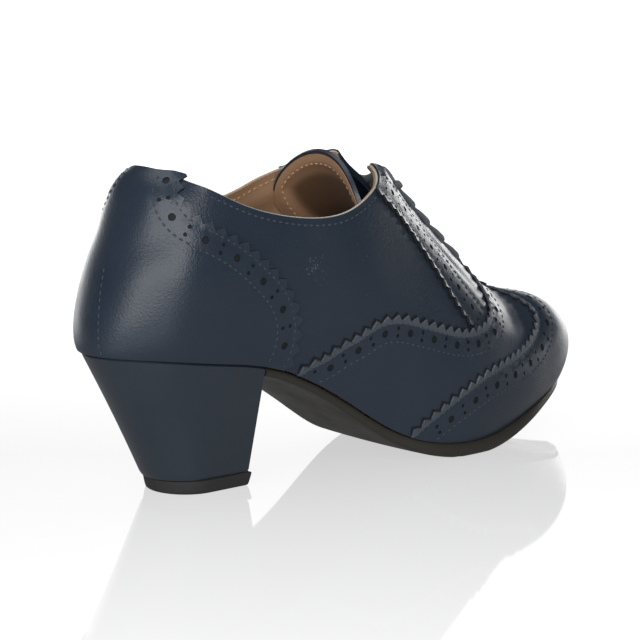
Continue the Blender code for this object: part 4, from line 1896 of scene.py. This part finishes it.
        def laid(a: Array, b: Array) -> Array:
            """Fill the outline from side to side, dished in the middle."""
            k = nearest(b, len(outer))
            flat = sides[0][k] + (sides[1][k] - sides[0][k]) * a[:, None]
            dished = 1.0 - 0.9 * 4.0 * a * (1.0 - a)
            return flat + np.stack([0.0 * a, 0.0 * a, 2.2 + dished], 1)

        thing = grid_piece("sock_lining", 14, len(outer) - 1, laid)
        turn_outwards(thing, np.tile([0.0, 0.0, 1.0], (len(thing.data.vertices), 1)))
        wall(thing, 2.0, even=False)
        finish_piece(thing, [material], 50.0, ["insole"])

    def collar_stitches(self, stitching: Stitching, inside: Stitching) -> None:
        """Sew the row that runs just under the collar, seen from outside and from inside.

        Args:
            stitching: where the outer stitches are gathered.
            inside: where the stitches on the lining are gathered.
        """
        for side in Side:
            corner = float(self.last.at_top(FACING_TOP_X - 16.0, side))
            back = 0.062 if side is Side.OUTER else 0.938
            u = np.linspace(back, corner, 140)
            v = self.last.edge(u) - self.stitch_drop / self.last.GIRTH
            points = self.last.surface(u, v, np.full(len(u), BASE_LIFT + 0.12))
            normal = self.last.normal(u, v)
            stitching.row(points, normal)
            depth = self.padding(u, v) - LINING - 0.12
            inside.row(self.last.surface(u, v, depth), -normal)


@dataclass
class Tongue:
    """Tongue: navy outside, tan padded lining inside and a stitch row."""

    thickness: float = 1.55
    lift: float = 0.9           # outer face over the middle surface
    lining: float = 0.5
    lining_depth: float = 1.15  # lining's face under the middle surface
    lining_width: float = 0.97  # share of the tongue that the lining covers
    lining_start: float = 0.05
    lining_length: float = 0.94
    round_end: float = 24.0
    columns: int = 56
    rows: int = 96

    def __post_init__(self) -> None:
        """Fit the middle line."""
        line = np.stack([column(TONGUE_ROWS, "x"), column(TONGUE_ROWS, "z")], 1)
        self.length = running_length(line)
        rest = np.stack([column(TONGUE_ROWS, "half"), column(TONGUE_ROWS, "fall")], 1)
        self.shape = cubic(self.length, np.hstack([line, rest]))

    def middle(self, across: Array, share: Array) -> tuple[Array, Array]:
        """Lay the tongue's middle surface.

        Args:
            across: shares from one side edge (-1) to the other (1).
            share: shares of the length.

        Returns:
            Points and outward normals.
        """
        end = self.length[-1] - self.round_end * (1.0 - np.sqrt(np.maximum(1.0 - across**2, 0.0)))
        at = share * end
        spot = self.shape(at)
        along = unit(self.shape(at + 0.5)[:, :2] - self.shape(at - 0.5)[:, :2])
        inward = np.stack([-along[:, 1], along[:, 0]], 1)
        inward *= -np.sign(inward[:, 1:2])
        flat = spot[:, :2] + inward * (spot[:, 3:4] * across[:, None] ** 2)
        points = np.stack([flat[:, 0], across * spot[:, 2], flat[:, 1]], 1)
        slope = 2.0 * spot[:, 3] * across / spot[:, 2]
        normal = np.stack([-inward[:, 0], slope, -inward[:, 1]], 1)
        return points, unit(normal)

    def from_edge(self, across: Array, share: Array) -> Array:
        """Return roughly how far each place lies inside the tongue's edge."""
        half = self.shape(share * self.length[-1])[:, 2]
        return np.minimum((1.0 - np.abs(across)) * half, (1.0 - share) * self.length[-1])

    def inner_relief(self, inside: Array) -> Array:
        """Return the padding of the lining: a soft roll along the edge, then a pressed line."""
        roll = 1.0 * np.exp(-(((inside - 4.2) / 2.4) ** 2))
        return roll - 0.35 * np.exp(-(((inside - 8.2) / 1.2) ** 2))

    def build(self, leather: Material, tan: Material, stitching: Stitching) -> None:
        """Build the tongue.

        Args:
            leather: outside.
            tan: lining, with painted shade darkening its pressed middle.
            stitching: where its stitch row is gathered.
        """
        def outside(a: Array, b: Array) -> Array:
            """Lay the outer face."""
            points, normal = self.middle(2.0 * a - 1.0, b)
            return points + normal * self.lift

        body = grid_piece("tongue", self.columns, self.rows, outside)
        turn_outwards(body, np.tile([0.6, 0.0, 0.8], (len(body.data.vertices), 1)))
        body.data.materials.append(leather)
        wall(body, self.thickness)
        finish_piece(body, [], 50.0, ["tongue"])

        def lined(a: Array, b: Array) -> tuple[Array, Array]:
            """Return the place on the tongue for a place on its lining."""
            return (2.0 * a - 1.0) * self.lining_width, self.lining_start + b * self.lining_length

        def inside(a: Array, b: Array) -> Array:
            """Lay the padded lining."""
            points, normal = self.middle(*lined(a, b))
            depth = self.lining_depth + self.inner_relief(self.from_edge(*lined(a, b)))
            return points - normal * depth[:, None]

        face = grid_piece("tongue_lining", self.columns, self.rows, inside)
        turn_outwards(face, np.tile([-0.6, 0.0, -0.8], (len(face.data.vertices), 1)))
        face.data.materials.append(tan)
        spots = np.arange(len(face.data.vertices))
        a, b = spots % (self.columns + 1) / self.columns, spots // (self.columns + 1) / self.rows
        # Painted shade: the lining darkens from its edge towards its pressed middle.
        worn = smooth_step(self.from_edge(*lined(a, b)), 5.5, 12.0)
        face.data.attributes.new(PAINTED_SHADE, "FLOAT", "POINT").data.foreach_set("value", worn)
        wall(face, self.lining)
        finish_piece(face, [], 50.0)
        turn = np.linspace(-1.0, 1.0, 120)
        across = np.sin(turn * math.pi / 2.0) * 0.87
        share = 0.955 - 0.30 * np.clip((np.abs(turn) - 0.72) / 0.28, 0.0, 1.0) ** 1.5
        points, normal = self.middle(across, share)
        depth = self.lining_depth + self.inner_relief(self.from_edge(across, share)) + 0.08
        stitching.row(points - normal * depth[:, None], -normal)


@dataclass
class ShoeLace:
    """Lace: a bar inside the lowest pair, then crossed up to the top eyelets."""

    last: Last
    width: float = 5.0
    thick: float = 2.5
    top_bow: float = 6.0
    sides: int = 12

    def way(self, first: Side) -> Array:
        """List the way of one half of the lace: x, y, z, and how far it is bunched.

        Args:
            first: side on which it leaves the bar.

        Returns:
            Rows of points with a bunching from 0 (flat) to 1 (drawn through an eyelet).
        """
        rows: list[tuple] = []
        side = first
        low = EYELET_PAIRS - 1
        over = first is Side.OUTER
        start = self.spot(low, side, -3.6)
        rows.append((start[0] + 0.3, 0.0, start[2] + 0.8, 0.0))
        for k in range(low, 0, -1):
            other = Side.INNER if side is Side.OUTER else Side.OUTER
            for lift, bunch in ((-3.4, 0.5), (-0.6, 1.0), (0.3, 0.6)):
                rows.append((*self.spot(k, side, lift), bunch))
            rows.append((*self.rim(k, k - 1, side, 0.30), 0.1))
            middle = 0.5 * (self.rim(k, k - 1, side, 0.5) + self.rim(k, k - 1, other, 0.5))
            bow = self.top_bow if k == 1 else 0.0
            rows.append((middle[0], 0.0, middle[2] + (0.6 if over else -1.9) + bow, 0.0))
            over = not over
            if k > 1:
                under = self.rim(k, k - 1, other, 0.72) + np.array([0.0, 0.0, -4.6])
                rows.append((*under, 0.1))
            else:
                rows.append((*self.rim(k, k - 1, other, 0.72), 0.1))
                for lift, bunch in ((1.3, 0.8), (-0.6, 1.0), (-4.0, 0.6)):
                    rows.append((*self.spot(0, other, lift), bunch))
            side = other
        return np.array(rows)

    def spot(self, number: int, side: Side, lift: float) -> Array:
        """Return the point over or under an eyelet."""
        u, v = eyelet_place(self.last, number, side)
        return self.last.surface(np.array([u]), np.array([v]), np.array([lift + 0.4]))[0]

    def rim(self, low: int, high: int, side: Side, share: float) -> Array:
        """Return a point just over the edge of the lace gap between two eyelet pairs."""
        x = EYELET_FIRST_X + EYELET_STEP_X * (low + (high - low) * share)
        u, v = self.last.across(x, side.value * (float(half_gap(np.array(x))) + 0.9))
        return self.last.surface(np.array([u]), np.array([v]), np.array([1.1]))[0]

    def build(self, material: Material) -> None:
        """Sweep the lace along its way.

        Args:
            material: woven lace.
        """
        halves = [self.way(side) for side in Side]
        rows = np.vstack([halves[0][::-1], halves[1][1:]])
        chord = np.linalg.norm(np.diff(rows[:, :3], axis=0), axis=1)
        knots = np.concatenate([[0.0], np.cumsum(np.maximum(chord, 0.4))])
        count = int(knots[-1] / 0.7)
        at = np.linspace(0.0, knots[-1], count)
        path = cubic(knots, rows[:, :3])(at)
        bunch = np.clip(np.interp(at, knots, rows[:, 3]), 0.0, 1.0)
        along = unit(np.gradient(path, axis=0))
        wide = unit(INSTEP_FALL - np.sum(along * INSTEP_FALL, -1, keepdims=True) * along)
        for _ in range(6):
            wide = unit(0.25 * np.roll(wide, 1, 0) + 0.5 * wide + 0.25 * np.roll(wide, -1, 0))
        wide = unit(wide - np.sum(along * wide, -1, keepdims=True) * along)
        up = np.cross(along, wide)
        half = 0.5 * (self.width * (1.0 - bunch) + 2.7 * bunch)
        deep = 0.5 * (self.thick * (1.0 - bunch) + 2.2 * bunch)

        def swept(a: Array, b: Array) -> Array:
            """Carry the flat oval section along the way."""
            k = nearest(b, count)
            turn = 2.0 * math.pi * a
            x = np.sign(np.cos(turn)) * np.abs(np.cos(turn)) ** 0.75
            z = np.sign(np.sin(turn)) * np.abs(np.sin(turn)) ** 0.9
            return path[k] + wide[k] * (x * half[k])[:, None] + up[k] * (z * deep[k])[:, None]

        thing = grid_piece("lace_run", self.sides, count - 1, swept)
        close_ends(thing)
        finish_piece(thing, [material], 60.0, ["lace"])
        LOG.info("lace length %.0f mm", float(np.sum(np.linalg.norm(np.diff(path, axis=0), axis=1))))


@dataclass
class Heel:
    """Covered block heel and the rubber top piece under it."""

    last: Last
    breast: float = 57.5
    setback: float = 0.8
    foot_back: float = 24.4
    foot_front: float = 57.0
    foot_half: float = 15.2
    foot_round: float = 0.95
    top_piece: float = 5.5
    lip: float = 0.5
    flare: float = 1.2
    meet: float = 0.3
    columns: int = 48

    def seat(self) -> Array:
        """Draw the ring under the seat.

        Returns:
            Points of the outer side from the back, then of the inner side returning.
        """
        lines = []
        for side in Side:
            front = float(self.last.at_station(self.breast))
            if side is Side.INNER:
                front = float(self.last.mirrored(np.array(front)))
            u = np.linspace(0.0 if side is Side.OUTER else 1.0, front, self.columns)
            line = self.last.values(u)[:, :3].copy()
            line[:, :2] -= self.last.outward(u) * self.setback
            line[:, 2] -= self.meet
            lines.append(line)
        return np.vstack([lines[0], lines[1][::-1]])

    def foot(self, grow: float, z: float) -> Array:
        """Draw the D-shaped ring of the heel's foot.

        Args:
            grow: how far it is widened all round.
            z: its height.

        Returns:
            Points in the order of the ring under the seat.
        """
        half = self.foot_half + grow
        back, front = self.foot_back - grow, self.foot_front + grow
        turn = np.linspace(0.0, 0.5 * math.pi, 80)
        depth = self.foot_round * half
        curve = np.stack([back + depth * (1.0 - np.cos(turn)), half * np.sin(turn)], 1)
        curve = np.vstack([curve, [[front, half]]])
        length = running_length(curve)
        x, y = read_off(np.linspace(0.0, length[-1], self.columns), length, curve).T
        outer = np.stack([x, -y, np.full(self.columns, z)], 1)
        return np.vstack([outer, (outer * np.array([1.0, -1.0, 1.0]))[::-1]])

    def build(self, cover: Material, rubber: Material) -> None:
        """Build the block and its top piece.

        Args:
            cover: leather drawn over the block.
            rubber: top piece.
        """
        seat, foot = self.seat(), self.foot(0.0, 0.0)
        height = self.top_piece + self.meet
        ankle = foot + (seat - foot) * (height / seat[:, 2:3])
        ankle[:, 2] = height
        rings = []
        middle = np.array([36.0, 0.0, 0.0])
        for share in (0.0, 0.01, 0.025, 0.06, 0.15, 0.3, 0.45, 0.6, 0.75, 0.88, 0.95, 0.98, 0.993, 1.0):
            ring = ankle + (seat - ankle) * share
            hollow = 0.5 * math.sin(math.pi * share)
            turned = 1.3 * smooth_step(share, 0.976, 1.0) + 0.3 * (1.0 - smooth_step(share, 0.0, 0.02))
            inward = unit((middle - ring) * np.array([1.0, 1.0, 0.0]))
            back = smooth_step(45.0 - ring[:, 0], 0.0, 25.0)[:, None]
            rings.append(ring + inward * (hollow * back + turned))
        block = loft_piece("heel_cover", rings)
        finish_piece(block, [cover], 42.0, ["heel_block"])
        low = [self.foot(self.lip + self.flare * t - r, z) for t, r, z in (
            (0.0, 0.5, 0.0), (0.08, 0.1, 0.35), (0.3, 0.0, 1.4), (0.8, 0.0, 4.4),
            (0.97, 0.1, 5.25), (1.0, 0.6, self.top_piece))]
        piece = loft_piece("heel_top_lift", low)
        finish_piece(piece, [rubber], 50.0, ["heel_top_piece"])


@dataclass
class Outsole:
    """Thin outsole from the heel front to the toe, with arch, toe spring and a round edge."""

    last: Last
    start: float = 58.1
    meet: float = 0.3
    columns: int = 120
    crown: float = 0.5

    def build(self, material: Material) -> None:
        """Build the sole.

        Args:
            material: moulded sole.
        """
        reach = cubic(column(SOLE_ROWS, "x"), column(SOLE_ROWS, "reach"))
        thick = cubic(column(SOLE_ROWS, "x"), column(SOLE_ROWS, "thick"))
        lines: dict[Side, list[Array]] = {}
        first = self.last.at_station(self.start)
        begin = {Side.OUTER: float(first), Side.INNER: float(self.last.mirrored(first))}
        for side in Side:
            u = np.linspace(begin[side], self.last.tip, self.columns)
            bare = self.last.values(u)[:, :3]
            out = self.last.outward(u)
            lines[side] = []
            for level in SOLE_EDGE:
                line = bare.copy()
                line[:, :2] += out * (reach(bare[:, 0]) + level.out)[:, None]
                drop = self.meet + level.depth * (thick(bare[:, 0]) - self.meet)
                line[:, 2] = np.maximum(line[:, 2] - drop, 0.0)
                lines[side].append(line)
        rings = lines[Side.OUTER] + self.bridge(lines[Side.OUTER][-1], lines[Side.INNER][-1], self.crown)
        rings += lines[Side.INNER][::-1] + self.bridge(lines[Side.INNER][0], lines[Side.OUTER][0], 0.0)
        thing = loft_piece("outsole_run", np.stack(rings, 1))
        finish_piece(thing, [material], 50.0, ["outsole"])

    def bridge(self, start: Array, end: Array, crown: float) -> list[Array]:
        """Draw lines across the sole between two side lines.

        Args:
            start: side line they leave.
            end: side line they reach.
            crown: how far their middle is bowed down.

        Returns:
            The lines in between, in order.
        """
        made = []
        for share in np.linspace(0.0, 1.0, 9)[1:-1]:
            line = start + (end - start) * share
            line[:, 2] = np.maximum(line[:, 2] - crown * 4.0 * share * (1.0 - share), 0.0)
            made.append(line)
        return made


@dataclass
class Studio:
    """White floor, soft light and the camera at the photograph's angle."""

    azimuth: float = 41.0
    elevation: float = 11.0
    distance: float = 1.270
    lens: float = 179.3
    sensor: float = 36.0
    aim: tuple[float, float, float] = (-0.00897, -0.00065, 0.055)
    shift: tuple[float, float] = (-3.5 / 640.0, 3.0 / 640.0)
    floor_size: float = 40.0
    # floor_near to floor_behind set the floor's glow, painted light: near and far are what the camera sees,
    # bounce and behind light the shoe.
    floor_near: float = 0.59
    floor_far: float = 0.87
    floor_fade: float = 0.30
    floor_bounce: float = 0.22
    floor_behind: float = 1.7
    behind_far: float = -0.90   # the floor behind the shoe brightens from here, in metres
    behind_near: float = -0.15
    sheet_fall: float = 25.0
    sheet_turn: float = 4.0
    sheet_edge: float = 0.69    # cosines at the white sheet's edge and where it is brightest
    sheet_middle: float = 0.95
    room_glow: float = 0.05
    sheet_glow: float = 3.1

    def heading(self, turn: float, fall: float) -> Vector:
        """Return the direction turned from +Y towards +X and then down, in degrees."""
        a, e = math.radians(turn), math.radians(fall)
        return Vector((math.sin(a) * math.cos(e), math.cos(a) * math.cos(e), -math.sin(e)))

    def camera(self) -> None:
        """Set the camera."""
        right = self.heading(self.azimuth + 90.0, 0.0)
        view = self.heading(self.azimuth, self.elevation)
        up = right.cross(view)
        data = bpy.data.cameras.new("camera")
        data.lens = self.lens
        data.sensor_width = self.sensor
        data.shift_x, data.shift_y = self.shift
        data.clip_end = 200.0
        thing = bpy.data.objects.new("camera", data)
        turn = Matrix((right, up, -view)).transposed().to_4x4()
        thing.matrix_world = Matrix.Translation(Vector(self.aim) - view * self.distance) @ turn
        bpy.context.scene.collection.objects.link(thing)
        bpy.context.scene.camera = thing

    def floor(self) -> None:
        """Lay a white glossy floor that glows, painted light: to the camera dimmer by the shoe and brighter
        towards the camera, and for the rays that light the shoe, brightest far behind it.
        """
        deselect()
        bpy.ops.mesh.primitive_plane_add(size=self.floor_size, location=(0.0, 0.0, -0.00005))
        plane = bpy.context.object
        plane.name = "floor"
        white = (1.0, 1.0, 1.0, 1.0)
        material, tree, shader = new_material("white_acrylic_painted_glow", {
            "Base Color": (0.12, 0.12, 0.12, 1.0), "Roughness": 0.04, "IOR": 1.45, "Emission Color": white})
        ray = add_node(tree, "LightPath").outputs["Is Camera Ray"]
        ahead = self.heading(self.azimuth, 0.0)
        place = add_node(tree, "TexCoord").outputs["Object"]
        away = add_node(tree, "VectorMath", {"operation": "DOT_PRODUCT", (1,): tuple(-ahead)},
                        {0: place}).outputs["Value"]
        near = {("From Max",): self.floor_fade, ("To Min",): self.floor_near, ("To Max",): self.floor_far}
        seen = add_node(tree, "MapRange", near, {"Value": away}).outputs["Result"]
        back = {("From Min",): self.behind_far, ("From Max",): self.behind_near,
                ("To Min",): self.floor_behind, ("To Max",): self.floor_bounce}
        behind = add_node(tree, "MapRange", back, {"Value": away}).outputs["Result"]
        glow = add_node(tree, "MapRange", {}, {"Value": ray, "To Min": behind, "To Max": seen})
        tree.links.new(glow.outputs["Result"], shader.inputs["Emission Strength"])
        plane.data.materials.append(material)

    def world(self) -> None:
        """Light the room: white behind the shoe, dim behind the camera."""
        sheet = tuple(self.heading(self.azimuth + self.sheet_turn, self.sheet_fall))
        world = bpy.data.worlds.new("studio")
        bpy.context.scene.world = world
        world.use_nodes = True
        tree = world.node_tree
        tree.nodes.clear()
        place = add_node(tree, "TexCoord").outputs["Generated"]
        facing = add_node(tree, "VectorMath", {"operation": "DOT_PRODUCT", (1,): sheet}, {0: place})
        spread = {("From Min",): self.sheet_edge, ("From Max",): self.sheet_middle,
                  ("To Min",): self.room_glow, ("To Max",): self.sheet_glow}
        glow = add_node(tree, "MapRange", spread, {"Value": facing.outputs["Value"]})
        white = {("Color",): (1.0, 1.0, 1.0, 1.0)}
        room = add_node(tree, "Background", white, {"Strength": glow.outputs["Result"]})
        seen = add_node(tree, "Background", {**white, ("Strength",): 1.0})
        ray = add_node(tree, "LightPath")
        mix = add_node(tree, "MixShader", {},
                       {0: ray.outputs["Is Camera Ray"], 1: room.outputs[0], 2: seen.outputs[0]})
        add_node(tree, "OutputWorld", {}, {"Surface": mix.outputs[0]})

    def lamp(self, name: str, spot: Vector, target: Vector, size: tuple[float, float], power: float) -> None:
        """Hang a softbox.

        Args:
            name: name of the light.
            spot: where it hangs.
            target: what it looks at.
            size: width and height.
            power: watts.
        """
        data = bpy.data.lights.new(name, "AREA")
        data.shape = "RECTANGLE"
        data.size, data.size_y = size
        data.energy = power
        thing = bpy.data.objects.new(name, data)
        thing.location = spot
        thing.visible_camera = False
        thing.rotation_euler = (target - spot).to_track_quat("-Z", "Y").to_euler()
        bpy.context.scene.collection.objects.link(thing)

    def build(self) -> None:
        """Set up floor, light and camera."""
        bpy.context.scene.view_settings.view_transform = "Standard"
        self.camera()
        self.floor()
        self.world()
        middle = Vector((0.0, 0.0, 0.06))
        self.lamp("overhead", Vector((0.1, 0.25, 1.5)), middle, (1.6, 1.2), 9.0)
        self.lamp("front_box", Vector((-1.20, -1.04, 0.72)), Vector((-0.10, 0.0, 0.09)), (2.8, 1.1), 35.0)
        self.lamp("toe_side", Vector((1.5, 0.50, 0.16)), middle, (0.40, 0.4), 2.0)
        self.lamp("back_left", Vector((0.10, 1.5, 0.08)), Vector((-0.10, 0.0, 0.06)), (1.0, 0.3), 1.2)


def main() -> None:
    """Build the shoe's looks piece by piece."""
    logging.basicConfig(level=logging.INFO, format="%(message)s")
    Studio().build()
    last = Last(LAST_ROWS, CREASES)
    stitching, lining_stitching = Stitching("stitching"), Stitching("lining_stitching")
    navy, overlay, cut = NAVY.build(), NAVY_OVERLAY.build(), CUT_EDGE.build()
    collar_edge, tan = COLLAR_EDGE.build(), TAN.build()
    upper = Upper(last)
    upper.build(navy, collar_edge, tan)
    upper.collar_stitches(stitching, lining_stitching)
    Overlays(last, stitching).build(overlay, cut, FLARED_PAINTED_HIGHLIGHT.build(), HOLE_PAINTED_SHADE.build(), TEETH_PAINTED_SHADOW.build())
    Tongue().build(navy, tan, lining_stitching)
    ShoeLace(last).build(LACE.build())
    Heel(last).build(HEEL_COVER.build(), HEEL_RUBBER.build())
    Outsole(last).build(SOLE.build())
    stitching.build(THREAD.build())
    lining_stitching.build(TAN_THREAD.build())


if __name__ == "__main__":
    main()
